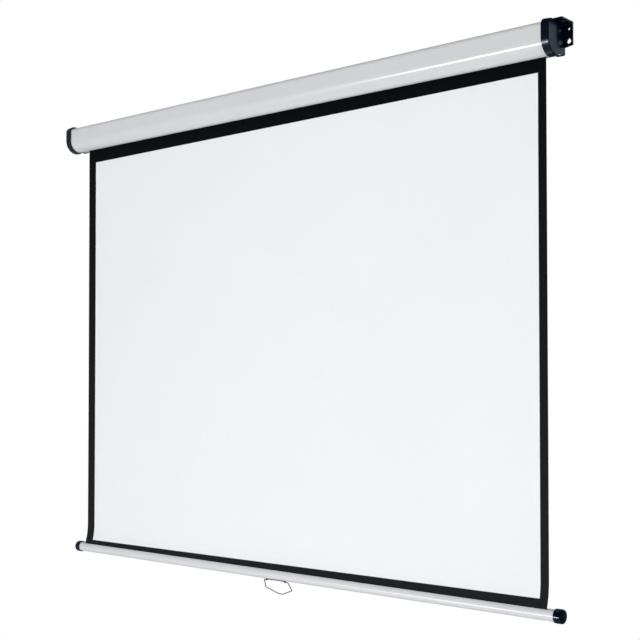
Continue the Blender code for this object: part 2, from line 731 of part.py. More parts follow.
def torsion_spring():
    """Spring wire wound on a helix from the plug's spigot to the anchor's."""
    curve = bpy.data.curves.new("torsion_spring", "CURVE")
    curve.dimensions = "3D"
    curve.bevel_depth = SPRING_WIRE_RADIUS
    curve.bevel_resolution = 1
    curve.use_fill_caps = True
    count = SPRING_TURNS * SPRING_SIDES + 1
    line = curve.splines.new("POLY")
    line.points.add(count - 1)
    for index, point in enumerate(line.points):
        share = index / (count - 1)
        angle = 2 * math.pi * SPRING_TURNS * share
        x = SPRING_ENDS[0] + (SPRING_ENDS[1] - SPRING_ENDS[0]) * share
        y = AXIS_Y + SPRING_RADIUS * math.cos(angle)
        z = AXIS_Z + SPRING_RADIUS * math.sin(angle)
        point.co = (x, y, z, 1.0)
    place("torsion_spring", curve, SPRING_STEEL)


def idle_end_plug():
    """Acetal plug pressed in the roller's right end, around the gudgeon pin."""
    bore = SPINDLE_RADIUS + GAP
    rim = ROLLER_BORE - GAP
    profile = [(bore, IDLE_PLUG_FLANGE), (ROLLER_RADIUS, IDLE_PLUG_FLANGE), (ROLLER_RADIUS, 0.0)]
    profile += [(rim, 0.0), (rim, SPIGOT_CHAMFER - IDLE_PLUG_BODY)]
    profile += [(rim - SPIGOT_CHAMFER, -IDLE_PLUG_BODY), (bore, -IDLE_PLUG_BODY)]
    origin = (ROLLER_HALF + GAP, AXIS_Y, AXIS_Z)
    turned("idle_end_plug", profile, ACETAL, origin, closed=True, sides=36)


def gudgeon_pin():
    start, end = GUDGEON_ENDS
    rod("gudgeon_pin", SPINDLE_RADIUS, (start, AXIS_Y, AXIS_Z), (end, AXIS_Y, AXIS_Z), ZINC_STEEL)


def idle_bush():
    """Acetal bush in the right cap's boss. Its flange keeps the roller off the cap."""
    bore = SPINDLE_RADIUS + RUNNING_GAP
    profile = [(bore, BUSH_LENGTH), (BUSH_RADIUS, BUSH_LENGTH), (BUSH_RADIUS, 0.0)]
    profile += [(BUSH_FLANGE_RADIUS, 0.0), (BUSH_FLANGE_RADIUS, -BUSH_FLANGE), (bore, -BUSH_FLANGE)]
    origin = (BOSS_INNER - GAP, AXIS_Y, AXIS_Z)
    turned("idle_bush", profile, ACETAL, origin, closed=True, sides=28)


def fabric_y(height):
    """Y of the drawn fabric at a height above the bar's slot: it curls forward near its foot."""
    foot = BAR_Y - BAR_RADIUS * math.sin(BAR_TILT)
    if height >= CURL_HEIGHT:
        return FABRIC_Y
    return FABRIC_Y + (foot - FABRIC_Y) * (1 - height / CURL_HEIGHT) ** 2


def bar_slot_z():
    return BAR_Z + BAR_RADIUS * math.cos(BAR_TILT)


def screen_fabric():
    """The drawn fabric, from the back of the roller to the top of its hem."""
    foot = bar_slot_z()
    steps = 6
    path = [(FABRIC_Y, AXIS_Z)]
    for step in range(steps + 1):
        height = CURL_HEIGHT + (HEM_HEIGHT + GAP - CURL_HEIGHT) * step / steps
        path.append((fabric_y(height), foot + height))
    sheet("screen_fabric", path, FABRIC_HALF, FABRIC_THICKNESS, SCREEN_CLOTH, side=0.0)


def welt_centre():
    inside = BAR_RADIUS - BAR_WALL - POCKET_RADIUS - POCKET_CLEARANCE
    return BAR_Y - inside * math.sin(BAR_TILT), BAR_Z + inside * math.cos(BAR_TILT)


def fabric_hem():
    """Foot of the fabric: it passes through the bar's slot and turns round the welt rod as a pocket."""
    foot = bar_slot_z()
    steps = 6
    path = []
    for step in range(steps + 1):
        height = HEM_HEIGHT * (1 - step / steps)
        path.append((fabric_y(height), foot + height))
    centre = welt_centre()
    entry = 90 + math.degrees(BAR_TILT)
    path += arc(centre, POCKET_RADIUS, entry - 12, entry - 330, 20)
    sheet("fabric_hem", path, FABRIC_HALF, FABRIC_THICKNESS, BLACK_CLOTH, side=0.0)


def hem_welt():
    """Rod in the hem's pocket, too thick to come out through the bar's slot."""
    y, z = welt_centre()
    half = FABRIC_HALF - 2 * MM
    rod("hem_welt", WELT_RADIUS, (-half, y, z), (half, y, z), ACETAL, sides=16)


def bar_tube():
    """Round aluminium tube, slotted along its upper front for the hem."""
    entry = 90 + math.degrees(BAR_TILT)
    half_slot = math.degrees(BAR_SLOT_HALF)
    path = arc((BAR_Y, BAR_Z), BAR_RADIUS, entry - half_slot, entry + half_slot - 360, 40)
    tube = sheet("bar_tube", path, BAR_HALF, BAR_WALL, BAR_LACQUER, side=-1.0)
    cut_rivet_holes(tube)


def cut_rivet_holes(body):
    """Two holes for the rivets, up through the strap and the bottom of the bar."""
    for side in (LEFT, RIGHT):
        x = HANDLE_X + side * RIVET_X
        bottom = BAR_Z - BAR_RADIUS
        hole = rod(
            f"{body.name}_rivet_hole_{side}",
            RIVET_HOLE_RADIUS,
            (x, BAR_Y, bottom - 3 * MM),
            (x, BAR_Y, bottom + 4 * MM),
            sides=16,
        )
        cut(body, hole)


def bar_cap(side):
    """Moulded cap: its sleeve covers the tube's end and its hollow plug fits inside."""
    name = "right_bar_cap" if side == RIGHT else "left_bar_cap"
    length = BAR_CAP_OUTER - BAR_CAP_INNER
    sleeve = BAR_RADIUS + GAP
    plug = BAR_RADIUS - BAR_WALL - GAP
    hollow = plug - BAR_CAP_PLUG_WALL
    floor = BAR_HALF - BAR_CAP_INNER + GAP
    centre = BAR_CAP_RADIUS - BAR_CAP_ROUND, length - BAR_CAP_ROUND
    profile = [(0.0, length)] + arc(centre, BAR_CAP_ROUND, 90, 0, 5)
    profile += [(BAR_CAP_RADIUS, BAR_CAP_CHAMFER), (BAR_CAP_RADIUS - BAR_CAP_CHAMFER, 0.0)]
    profile += [(sleeve, 0.0), (sleeve, floor), (plug, floor), (plug, BAR_CAP_CHAMFER - BAR_CAP_PLUG)]
    profile += [(plug - BAR_CAP_CHAMFER, -BAR_CAP_PLUG), (hollow, -BAR_CAP_PLUG), (hollow, floor)]
    profile += [(0.0, floor)]
    origin = (side * BAR_CAP_INNER, BAR_Y, BAR_Z)
    turned(name, profile, BLACK_ABS, origin, sides=36, facing=side)


def pivot_z():
    return BAR_Z - BAR_RADIUS - PIVOT_DROP


def handle_strap():
    """Steel strap riveted under the bar. Each end turns down into an eye for the bail."""
    top = BAR_Z - BAR_RADIUS - GAP
    plate = block(
        "handle_strap",
        (HANDLE_X - EYE_X - EYE_THICKNESS / 2, BAR_Y - STRAP_WIDTH / 2, top - STRAP_THICKNESS),
        (HANDLE_X + EYE_X + EYE_THICKNESS / 2, BAR_Y + STRAP_WIDTH / 2, top),
        DARK_WIRE,
    )
    for side in (LEFT, RIGHT):
        low = HANDLE_X + side * EYE_X - EYE_THICKNESS / 2
        high = HANDLE_X + side * EYE_X + EYE_THICKNESS / 2
        eye = rod(f"strap_eye_{side}", EYE_RADIUS, (low, BAR_Y, pivot_z()), (high, BAR_Y, pivot_z()))
        cut(plate, eye, "UNION")
    for side in (LEFT, RIGHT):
        low = HANDLE_X + side * EYE_X - 2 * EYE_THICKNESS
        high = HANDLE_X + side * EYE_X + 2 * EYE_THICKNESS
        hole = rod(
            f"strap_eye_hole_{side}",
            BAIL_WIRE_RADIUS + RUNNING_GAP,
            (low, BAR_Y, pivot_z()),
            (high, BAR_Y, pivot_z()),
            sides=16,
        )
        cut(plate, hole)
    cut_rivet_holes(plate)


def strap_rivet(side):
    """Blind rivet: a domed head under the strap and a bulb inside the tube."""
    name = "right_strap_rivet" if side == RIGHT else "left_strap_rivet"
    inside = STRAP_THICKNESS + GAP + BAR_WALL
    bulb, head = RIVET_BULB_RADIUS, RIVET_HEAD_RADIUS
    profile = [(0.0, inside + RIVET_BULB), (0.7 * bulb, inside + 0.94 * RIVET_BULB)]
    profile += [(bulb, inside + RIVET_BULB / 2), (bulb, inside + GAP), (RIVET_RADIUS, inside + GAP)]
    profile += [(RIVET_RADIUS, -GAP), (head, -GAP), (0.93 * head, -0.6 * RIVET_HEAD)]
    profile += [(0.6 * head, -0.9 * RIVET_HEAD), (0.0, -RIVET_HEAD)]
    bottom = BAR_Z - BAR_RADIUS - GAP - STRAP_THICKNESS
    made = turned(name, profile, ZINC_STEEL, (HANDLE_X + side * RIVET_X, BAR_Y, bottom), sides=16)
    made.rotation_euler = (0.0, 0.0, 0.0)


def rounded_path(corners, radius, steps=5):
    """A path through the corners with each bend rounded to about the given radius."""
    points = [Vector(corners[0])]
    for before, corner, after in zip(corners, corners[1:], corners[2:]):
        corner = Vector(corner)
        first = (Vector(before) - corner).normalized()
        second = (Vector(after) - corner).normalized()
        half = first.angle(second) / 2
        reach = radius / math.tan(half)
        reach = min(reach, 0.45 * (Vector(before) - corner).length, 0.45 * (Vector(after) - corner).length)
        start, end = corner + first * reach, corner + second * reach
        for step in range(steps + 1):
            share = step / steps
            near = start.lerp(corner, share)
            far = corner.lerp(end, share)
            points.append(near.lerp(far, share))
    points.append(Vector(corners[-1]))
    return points


def pull_handle():
    """Bent wire bail: its turned-in ends hang in the strap's eyes and it narrows to a short grip."""
    half = [(BAIL_END, 0.0), (BAIL_HOOK, 0.0), BAIL_SHOULDER, BAIL_GRIP]
    corners = [(-x, 0.0, z) for x, z in half] + [(x, 0.0, z) for x, z in reversed(half)]
    points = rounded_path(corners, BAIL_BEND_RADIUS)
    curve = bpy.data.curves.new("pull_handle", "CURVE")
    curve.dimensions = "3D"
    curve.bevel_depth = BAIL_WIRE_RADIUS
    curve.bevel_resolution = 2
    curve.use_fill_caps = True
    line = curve.splines.new("POLY")
    line.points.add(len(points) - 1)
    for point, place_on_path in zip(line.points, points):
        point.co = (*place_on_path, 1.0)
    made = place("pull_handle", curve, DARK_WIRE)
    made.location = (HANDLE_X, BAR_Y, pivot_z())
    made.rotation_euler = (BAIL_TILT, 0.0, 0.0)


def bore_left_boss(cap):
    cut(cap, tongue_slot("left_boss_slot", TONGUE_ENDS[0] - RUNNING_GAP, MM - BOSS_INNER))


def bore_right_boss(cap):
    bore = rod(
        "right_boss_bore",
        BUSH_RADIUS + GAP,
        (BOSS_INNER - MM, AXIS_Y, AXIS_Z),
        (BOSS_INNER + BUSH_LENGTH + GAP, AXIS_Y, AXIS_Z),
        sides=28,
    )
    cut(cap, bore)


def carry(name, axis_point, pieces):
    """Parents pieces and their cutters, where they stand, to an empty on the axis that they move with."""
    carrier = place(name, None, None)
    carrier.location = axis_point
    for piece in pieces:
        body = SCREEN.objects[piece]
        tools = [step.object for step in body.modifiers if step.type == "BOOLEAN"]
        for thing in [body] + tools:
            thing.parent = carrier
            thing.matrix_parent_inverse = Matrix.Translation(axis_point).inverted()


def settle_shading(thing):
    """Lets flat faces read flat and round ones round, also beside holes and bevelled edges."""
    normals = thing.modifiers.new("normals", "WEIGHTED_NORMAL")
    normals.keep_sharp = True


case_tube()
bore_left_boss(end_cap(LEFT))
bore_right_boss(end_cap(RIGHT))
cap_screw(LEFT)
cap_screw(RIGHT)
spring_spindle()
ratchet_wheel()
spring_anchor()
idle_bush()

roller_tube()
wound_fabric()
spring_end_plug()
idle_end_plug()
gudgeon_pin()
torsion_spring()
for pawl_number in (0, 1):
    pawl_pin(pawl_number)
    pawl(pawl_number)
TURNING = ["roller_tube", "wound_fabric", "spring_end_plug", "idle_end_plug", "gudgeon_pin", "torsion_spring"]
TURNING += ["pawl_pin_a", "pawl_pin_b", "pawl_a", "pawl_b"]
carry("roller_axis", (0.0, AXIS_Y, AXIS_Z), TURNING)

screen_fabric()
fabric_hem()
hem_welt()
bar_tube()
bar_cap(LEFT)
bar_cap(RIGHT)
handle_strap()
strap_rivet(LEFT)
strap_rivet(RIGHT)
pull_handle()
DROPPING = ["screen_fabric", "fabric_hem", "hem_welt", "bar_tube", "left_bar_cap", "right_bar_cap"]
DROPPING += ["handle_strap", "left_strap_rivet", "right_strap_rivet", "pull_handle"]
carry("weight_bar", (0.0, BAR_Y, BAR_Z), DROPPING)

for screen_piece in SCREEN.objects:
    if screen_piece.type == "MESH":
        settle_shading(screen_piece)
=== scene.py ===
import math

import bmesh
import bpy
from mathutils import Matrix, Vector


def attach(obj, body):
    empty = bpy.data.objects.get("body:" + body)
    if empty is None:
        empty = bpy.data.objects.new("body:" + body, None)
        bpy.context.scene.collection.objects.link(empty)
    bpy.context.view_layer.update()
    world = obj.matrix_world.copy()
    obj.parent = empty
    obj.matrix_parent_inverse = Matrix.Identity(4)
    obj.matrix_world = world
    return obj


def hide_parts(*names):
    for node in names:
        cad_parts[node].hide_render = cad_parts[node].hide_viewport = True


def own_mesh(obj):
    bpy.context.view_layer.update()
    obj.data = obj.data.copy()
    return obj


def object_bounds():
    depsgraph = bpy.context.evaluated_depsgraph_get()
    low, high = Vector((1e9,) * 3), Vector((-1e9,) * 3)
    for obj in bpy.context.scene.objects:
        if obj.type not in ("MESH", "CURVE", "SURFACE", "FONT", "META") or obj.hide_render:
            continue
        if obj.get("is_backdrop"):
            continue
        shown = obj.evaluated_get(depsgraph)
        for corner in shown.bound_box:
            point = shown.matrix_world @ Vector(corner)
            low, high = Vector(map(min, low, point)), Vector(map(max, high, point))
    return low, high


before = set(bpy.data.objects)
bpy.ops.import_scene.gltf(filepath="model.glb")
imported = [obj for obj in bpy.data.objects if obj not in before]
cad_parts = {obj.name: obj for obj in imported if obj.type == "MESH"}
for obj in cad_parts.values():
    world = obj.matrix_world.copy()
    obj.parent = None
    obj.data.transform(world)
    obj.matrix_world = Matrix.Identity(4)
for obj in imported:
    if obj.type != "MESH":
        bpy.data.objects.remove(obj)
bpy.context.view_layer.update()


# Case. A tube roll-formed from 1 mm steel strip, D-shaped in section, its floor left open between
# two upturned lips for the fabric and rising to a heel at the back. It is powder-coated in a cool
# white and baked, and its two cut ends sit in the moulded end caps.
MM = 0.001
CASE_FRONT = -67.5 * MM
CASE_BACK = -5.0 * MM
CASE_TOP = 8.7 * MM
CASE_FLOOR = -58.2 * MM
CASE_HEEL = -52.5 * MM
CASE_RADII = [30.0 * MM, 12.0 * MM, 4.0 * MM, 1.5 * MM]
CASE_WALL = 1.0 * MM
CASE_HALF = 783.5 * MM
SLOT_FRONT = -31.5 * MM
SLOT_BACK = -11.0 * MM
SLOT_LIP = 4.0 * MM
LIP_BEND = 1.5 * MM
SCREW_X = 777.0 * MM
SCREW_Z = -22.0 * MM
SCREW_HOLE = 1.8 * MM
SLIVER = 0.02 * MM
FINE_SLIVER = 0.001 * MM
SHARP_EDGE = math.radians(35)
CASE_WHITE = "#D6D7D9"
CASE_WHITE_SHADE = "#D0D1D4"


def rounded(corners, fineness=5.0):
    """A path through (place, radius) corners, turned on arcs with a step of fineness degrees."""
    points = []
    for index, (spot, radius) in enumerate(corners):
        corner = Vector(spot)
        if radius == 0:
            points.append(corner)
            continue
        before = (Vector(corners[index - 1][0]) - corner).normalized()
        after = (Vector(corners[(index + 1) % len(corners)][0]) - corner).normalized()
        half = before.angle(after) / 2
        centre = corner + (before + after).normalized() * radius / math.sin(half)
        start = corner + before * radius / math.tan(half) - centre
        end = corner + after * radius / math.tan(half) - centre
        sweep = math.pi - 2 * half
        steps = max(2, round(math.degrees(sweep) / fineness))
        for step in range(steps + 1):
            share = step / steps
            swung = start * math.sin((1 - share) * sweep) + end * math.sin(share * sweep)
            points.append(centre + swung / math.sin(sweep))
    return points


def add_piece(name, form, *finishes, sharp=SHARP_EDGE):
    """An object for a finished bmesh, smooth apart from edges sharper than the given angle."""
    mesh = bpy.data.meshes.new(name)
    form.to_mesh(mesh)
    form.free()
    mesh.shade_smooth()
    mesh.set_sharp_from_angle(angle=sharp)
    for finish in finishes:
        mesh.materials.append(finish)
    made = bpy.data.objects.new(name, mesh)
    bpy.context.scene.collection.objects.link(made)
    return made


def settle(piece):
    """Makes what the piece's modifiers give its own mesh."""
    graph = bpy.context.evaluated_depsgraph_get()
    mesh = bpy.data.meshes.new_from_object(piece.evaluated_get(graph))
    piece.modifiers.clear()
    piece.data = mesh
    mesh.shade_smooth()
    mesh.set_sharp_from_angle(angle=SHARP_EDGE)
    return piece


def clean(piece, distance):
    """Merges the slivers that cutting and bevelling leave."""
    form = bmesh.new()
    form.from_mesh(piece.data)
    bmesh.ops.remove_doubles(form, verts=form.verts, dist=distance)
    bmesh.ops.dissolve_degenerate(form, edges=form.edges, dist=distance)
    form.to_mesh(piece.data)
    form.free()
    piece.data.set_sharp_from_angle(angle=SHARP_EDGE)


def soften(piece, width):
    """Breaks the hard edges of a piece by a small width, as coating, moulding or deburring does."""
    clean(piece, SLIVER)
    edges = piece.modifiers.new("broken_edges", "BEVEL")
    edges.width = width
    edges.segments = 2
    edges.limit_method = "ANGLE"
    edges.angle_limit = SHARP_EDGE
    settle(piece)
    clean(piece, FINE_SLIVER)
    piece.modifiers.new("normals", "WEIGHTED_NORMAL").keep_sharp = True


def bent_strip(name, path, half_length, thickness, side, finish):
    """Strip bent along a path in the YZ plane: side -1 puts its thickness to the right of the path."""
    form = bmesh.new()
    rows = [[form.verts.new((x, y, z)) for x in (-half_length, half_length)] for y, z in path]
    for (left, right), (next_left, next_right) in zip(rows, rows[1:]):
        form.faces.new((left, right, next_right, next_left))
    made = add_piece(name, form, finish)
    wall = made.modifiers.new("wall", "SOLIDIFY")
    wall.thickness = thickness
    wall.offset = side
    wall.use_even_offset = True
    return settle(made)


def rod(radius, start, end, sides=32):
    """A plain round rod between two points, to cut holes and add bosses with."""
    along = Vector(end) - Vector(start)
    form = bmesh.new()
    bmesh.ops.create_cone(
        form, cap_ends=True, segments=sides, radius1=radius, radius2=radius, depth=along.length
    )
    turn = along.to_track_quat("Z", "Y").to_matrix().to_4x4()
    middle = Matrix.Translation((Vector(start) + Vector(end)) / 2)
    bmesh.ops.transform(form, matrix=middle @ turn, verts=form.verts)
    return add_piece("rod", form)


def carve(body, tool, operation="DIFFERENCE"):
    """Cuts a tool out of a body, or joins it on, and takes the tool away."""
    step = body.modifiers.new("carve", "BOOLEAN")
    step.operation = operation
    step.solver = "EXACT"
    step.object = tool
    settle(body)
    bpy.data.objects.remove(tool, do_unlink=True)


def linear(code):
    """An sRGB hex colour in linear light, with alpha."""
    shares = [int(code[place : place + 2], 16) / 255 for place in (1, 3, 5)]
    return [c / 12.92 if c <= 0.04045 else ((c + 0.055) / 1.055) ** 2.4 for c in shares] + [1.0]


def add_node(tree, kind, output, inputs, **settings):
    """Adds a shader node and returns one output. Inputs are values or other nodes' outputs."""
    made = tree.nodes.new("ShaderNode" + kind)
    for key, value in settings.items():
        setattr(made, key, value)
    for key, value in inputs.items():
        if isinstance(value, bpy.types.NodeSocket):
            tree.links.new(value, made.inputs[key])
        else:
            made.inputs[key].default_value = value
    return made.outputs[output]


def new_finish(name, constants):
    """A material with its shader's constants set, and its own place on the piece, in metres."""
    made = bpy.data.materials.new(name)
    made.use_nodes = True
    tree = made.node_tree
    shader = tree.nodes["Principled BSDF"]
    for socket, value in constants.items():
        shader.inputs[socket].default_value = value
    return made, tree, shader, add_node(tree, "TexCoord", "Object", {})


def tint(tree, shader, factor, first, second):
    """Lets the shader's colour drift between two tones. Returns it, to tone further."""
    blend = {0: factor, 6: linear(first), 7: linear(second)}
    tone = add_node(tree, "Mix", 2, blend, data_type="RGBA")
    tree.links.new(tone, shader.inputs["Base Color"])
    return tone


def vary_roughness(tree, shader, factor, low, high):
    spread = {"Value": factor, "To Min": low, "To Max": high}
    tree.links.new(add_node(tree, "MapRange", "Result", spread), shader.inputs["Roughness"])


def raise_grain(tree, shader, height, depth):
    """Bump from a height pattern, its full depth in metres, on top of any bump so far."""
    inputs = {"Distance": depth, "Height": height}
    for link in shader.inputs["Normal"].links:
        inputs["Normal"] = link.from_socket
    tree.links.new(add_node(tree, "Bump", "Normal", inputs), shader.inputs["Normal"])


def baked_powder_coat():
    """Polyester powder coat, sprayed on the formed steel and baked: an even satin skin with a
    faint orange peel 2.5 mm from crest to crest, and a slow drift in tone along the length."""
    made, tree, shader, place = new_finish("baked_powder_coat", {"IOR": 1.5})
    peel = add_node(tree, "TexNoise", "Fac", {"Vector": place, "Scale": 1 / (2.5 * MM)})
    drift = add_node(tree, "TexNoise", "Fac", {"Vector": place, "Scale": 1 / (160 * MM), "Detail": 3.0})
    tint(tree, shader, drift, CASE_WHITE, CASE_WHITE_SHADE)
    vary_roughness(tree, shader, peel, 0.17, 0.23)
    raise_grain(tree, shader, peel, 0.012 * MM)
    return made


def arc(centre, radius, start, end, fineness=3.0):
    """Points on an arc in the YZ plane between two angles, all in degrees."""
    steps = round(abs(end - start) / fineness)
    points = []
    for step in range(steps + 1):
        angle = math.radians(start + (end - start) * step / steps)
        points.append(Vector(centre) + radius * Vector((math.cos(angle), math.sin(angle))))
    return points


def case_section(out=0.0, below=0.0, behind=0.0):
    """The case's D-shaped section, moved outwards by one distance in front and on top, one below
    and one behind. The last side of the loop is the floor, lowest under the nose."""
    nose, brow = [radius + out for radius in CASE_RADII[:2]]
    top_back, heel_round = [radius + behind for radius in CASE_RADII[2:]]
    front, back, top = CASE_FRONT - out, CASE_BACK + behind, CASE_TOP + out
    floor, heel = CASE_FLOOR - below, CASE_HEEL - behind
    loop = arc((front + nose, floor + nose), nose, 270, 180)
    loop += arc((front + brow, top - brow), brow, 180, 90)
    loop += arc((back - top_back, top - top_back), top_back, 90, 0)
    return loop + arc((back - heel_round, heel + heel_round), heel_round, 0, -90)


def case_floor(y):
    """Height of the case's floor between its nose and its heel."""
    start, end = CASE_FRONT + CASE_RADII[0], CASE_BACK - CASE_RADII[3]
    return CASE_FLOOR + (CASE_HEEL - CASE_FLOOR) * (y - start) / (end - start)


CASE_PAINT = baked_powder_coat()
front_lip = case_floor(SLOT_FRONT)
bends = [((SLOT_FRONT, front_lip + SLOT_LIP), 0), ((SLOT_FRONT, front_lip), LIP_BEND)]
bends += [(point, 0) for point in case_section()]
bends += [((SLOT_BACK, CASE_HEEL), LIP_BEND), ((SLOT_BACK, CASE_HEEL + SLOT_LIP), 0)]
case = bent_strip("case_tube_painted", rounded(bends), CASE_HALF, CASE_WALL, -1.0, CASE_PAINT)
for side in (-1, 1):
    hole = (side * SCREW_X, 0.0, SCREW_Z), (side * SCREW_X, 2 * CASE_BACK, SCREW_Z)
    carve(case, rod(SCREW_HOLE, *hole))
soften(case, 0.2 * MM)
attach(case, "case")
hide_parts("case_tube")


# End caps. Injection-moulded ABS in blue-black: a shell that slips over the tube's end with a rim
# 5 mm proud of it and a little lower outboard, ribs and a boss inside, and a two-way mounting ear
# with holes for a wall screw and a slot for a ceiling screw. One screw through its back holds it.
CAP_INNER = 769.0 * MM
CAP_OUTER = 787.0 * MM
CAP_PROUD = 5.0 * MM
CAP_FLOOR_PROUD = 3.3 * MM
CAP_BACK_PROUD = 3.0 * MM
CAP_FLOOR = CAP_OUTER - 3.2 * MM
CAP_EDGE = 4.0 * MM
CAP_DRAFT = 1.5 * MM
RIM_EDGE = 0.65 * MM
CAP_GAP = 0.3 * MM
CAP_MOUTH = (-31.2 * MM, -9.0 * MM)
CAP_FOOT = -54.0 * MM
EAR_OUTER = 804.0 * MM
EAR_TOP = 14.0 * MM
EAR_BOTTOM = -37.5 * MM
EAR_BOTTOM_RISE = 3.2 * MM
EAR_FRONT = -48.0 * MM
EAR_PLATE = 3.5 * MM
EAR_CORNER = 3.5 * MM
EAR_FILLET = 7.0 * MM
POCKET_FRONT = -41.0 * MM
POCKET_DEPTH = 1.6 * MM
EAR_HOLE_X = 795.5 * MM
WALL_HOLE = 2.6 * MM
HANGER_RADIUS = 4.8 * MM
HANGER_Z = -25.7 * MM
HANGER_TIP = 1.4 * MM
HANGER_TIP_RISE = 5.4 * MM
CEILING_SLOT = (-28.0 * MM, -16.0 * MM)
CEILING_SLOT_RADIUS = 2.3 * MM
AXIS_Y = -32.8 * MM
AXIS_Z = -25.0 * MM
BOSS_START = 774.0 * MM
BOSS_RADIUS = 8.0 * MM
BUSH_SEAT = (773.0 * MM, 782.3 * MM)
BUSH_SEAT_RADIUS = 5.3 * MM
TONGUE_SEAT = (-783.2 * MM, -773.0 * MM)
TONGUE_SEAT_HALF = (3.3 * MM, 1.8 * MM)
RIB_DEPTH = 4.0 * MM
RIB_HALF = 1.0 * MM
TOP_RIBS = (-48.0 * MM, -24.0 * MM)
FRONT_RIB = -14.0 * MM
BACK_RIB = -44.0 * MM
CAP_BLACK = "#030A17"
CAP_BLACK_LIFTED = "#070F21"


def moulded_abs(name, smooth, rough):
    """Injection-moulded ABS, through-coloured blue-black: a glossy skin with the faint spark
    texture of its mould, drawn at 0.9 mm so that it shows, and slow flow marks in the gloss."""
    made, tree, shader, place = new_finish(name, {"IOR": 1.53, "Specular IOR Level": 0.42})
    spark = add_node(tree, "TexNoise", "Fac", {"Vector": place, "Scale": 1 / (0.9 * MM)})
    flow = add_node(tree, "TexNoise", "Fac", {"Vector": place, "Scale": 1 / (22 * MM)})
    tint(tree, shader, flow, CAP_BLACK, CAP_BLACK_LIFTED)
    vary_roughness(tree, shader, flow, smooth, rough)
    raise_grain(tree, shader, spark, 0.003 * MM)
    return made


def prism(name, outline, low, high, *finishes, axis=0):
    """A closed outline drawn out along one axis; it lies in the plane of the other two."""
    form = bmesh.new()
    rings = []
    for level in (low, high):
        spots = [[u, v] for u, v in outline]
        for spot in spots:
            spot.insert(axis, level)
        rings.append([form.verts.new(spot) for spot in spots])
        form.faces.new(rings[-1])
    first, second = rings
    for index in range(len(outline)):
        after = (index + 1) % len(outline)
        form.faces.new((first[index], first[after], second[after], second[index]))
    bmesh.ops.recalc_face_normals(form, faces=form.faces)
    return add_piece(name, form, *finishes)


def block(low, high):
    """A plain block between two corners, to cut and add with."""
    outline = [(low[1], low[2]), (high[1], low[2]), (high[1], high[2]), (low[1], high[2])]
    return prism("block", outline, low[0], high[0])


def round_edges(piece, width, segments, chosen):
    """Rounds the edges of a piece whose two ends pass a test."""
    weights = piece.data.attributes.new("bevel_weight_edge", "FLOAT", "EDGE")
    for edge in piece.data.edges:
        if chosen(*[piece.data.vertices[index].co for index in edge.vertices]):
            weights.data[edge.index].value = 1.0
    edges = piece.modifiers.new("round", "BEVEL")
    edges.width = width
    edges.segments = segments
    edges.limit_method = "WEIGHT"
    settle(piece)
    piece.data.attributes.remove(piece.data.attributes["bevel_weight_edge"])
    return piece


def near(value, target):
    return abs(value - target) < 0.01 * MM


def mouth_cutter(side):
    """What is open under the cap: its floor behind the nose, up to the level of the case's."""
    front, back = CAP_MOUTH
    below = CASE_FLOOR - 2 * CAP_PROUD
    outline = [(front, below), (front, case_floor(front) + CAP_GAP)]
    outline += [(back, case_floor(back) + CAP_GAP), (back, CAP_FOOT), (EAR_PLATE, CAP_FOOT)]
    outline.append((EAR_PLATE, below))
    return prism("mouth", outline, side * (CAP_INNER - MM), side * (CAP_OUTER + MM))


def hanger_cutter(side):
    """Hanging hole: round for the screw's head, and drawn in above it for the shank."""
    flank = math.degrees(math.asin((HANGER_RADIUS - HANGER_TIP) / HANGER_TIP_RISE))
    centre = side * EAR_HOLE_X, HANGER_Z
    outline = arc(centre, HANGER_RADIUS, 180 - flank, 360 + flank)
    tip = centre[0], HANGER_Z + HANGER_TIP_RISE
    outline += arc(tip, HANGER_TIP, flank, 180 - flank)
    return prism("hanger", outline, -2 * EAR_PLATE, EAR_PLATE, axis=1)


def rounded_plate(low, high, radius):
    """Outline of a plate or slot between two opposite corners, with its corners rounded."""
    corners = [low, (high[0], low[1]), high, (low[0], high[1])]
    return rounded([(corner, radius) for corner in corners], fineness=10.0)


def ceiling_slot_cutter(side):
    centre, half = side * EAR_HOLE_X, CEILING_SLOT_RADIUS
    low, high = (centre - half, CEILING_SLOT[0] - half), (centre + half, CEILING_SLOT[1] + half)
    outline = rounded_plate(low, high, 0.999 * half)
    return prism("slot", outline, EAR_TOP - 2 * EAR_PLATE, EAR_TOP + EAR_PLATE, axis=2)


def mounting_ear(side):
    """Top plate for a ceiling and back plate for a wall, joined by a fillet. The back plate's
    lower edge rises towards its outer corner."""
    corners = [((EAR_FRONT, EAR_TOP - EAR_PLATE), 0), ((EAR_FRONT, EAR_TOP), 1.0 * MM)]
    corners += [((0.0, EAR_TOP), 1.5 * MM), ((0.0, EAR_BOTTOM), 0), ((-EAR_PLATE, EAR_BOTTOM), 0)]
    corners.append(((-EAR_PLATE, EAR_TOP - EAR_PLATE), EAR_FILLET))
    made = prism("ear", rounded(corners), side * CAP_FLOOR, side * EAR_OUTER)
    for corner in made.data.vertices:
        if near(abs(corner.co.x), EAR_OUTER) and near(corner.co.z, EAR_BOTTOM):
            corner.co.z += EAR_BOTTOM_RISE
    lowest = EAR_BOTTOM + EAR_BOTTOM_RISE

    def outboard_corner(first, second):
        low = near(first.z, lowest) and near(second.z, lowest)
        forward = near(first.y, EAR_FRONT) and near(second.y, EAR_FRONT)
        return near(abs(first.x), EAR_OUTER) and near(abs(second.x), EAR_OUTER) and (low or forward)

    return round_edges(made, EAR_CORNER, 6, outboard_corner)


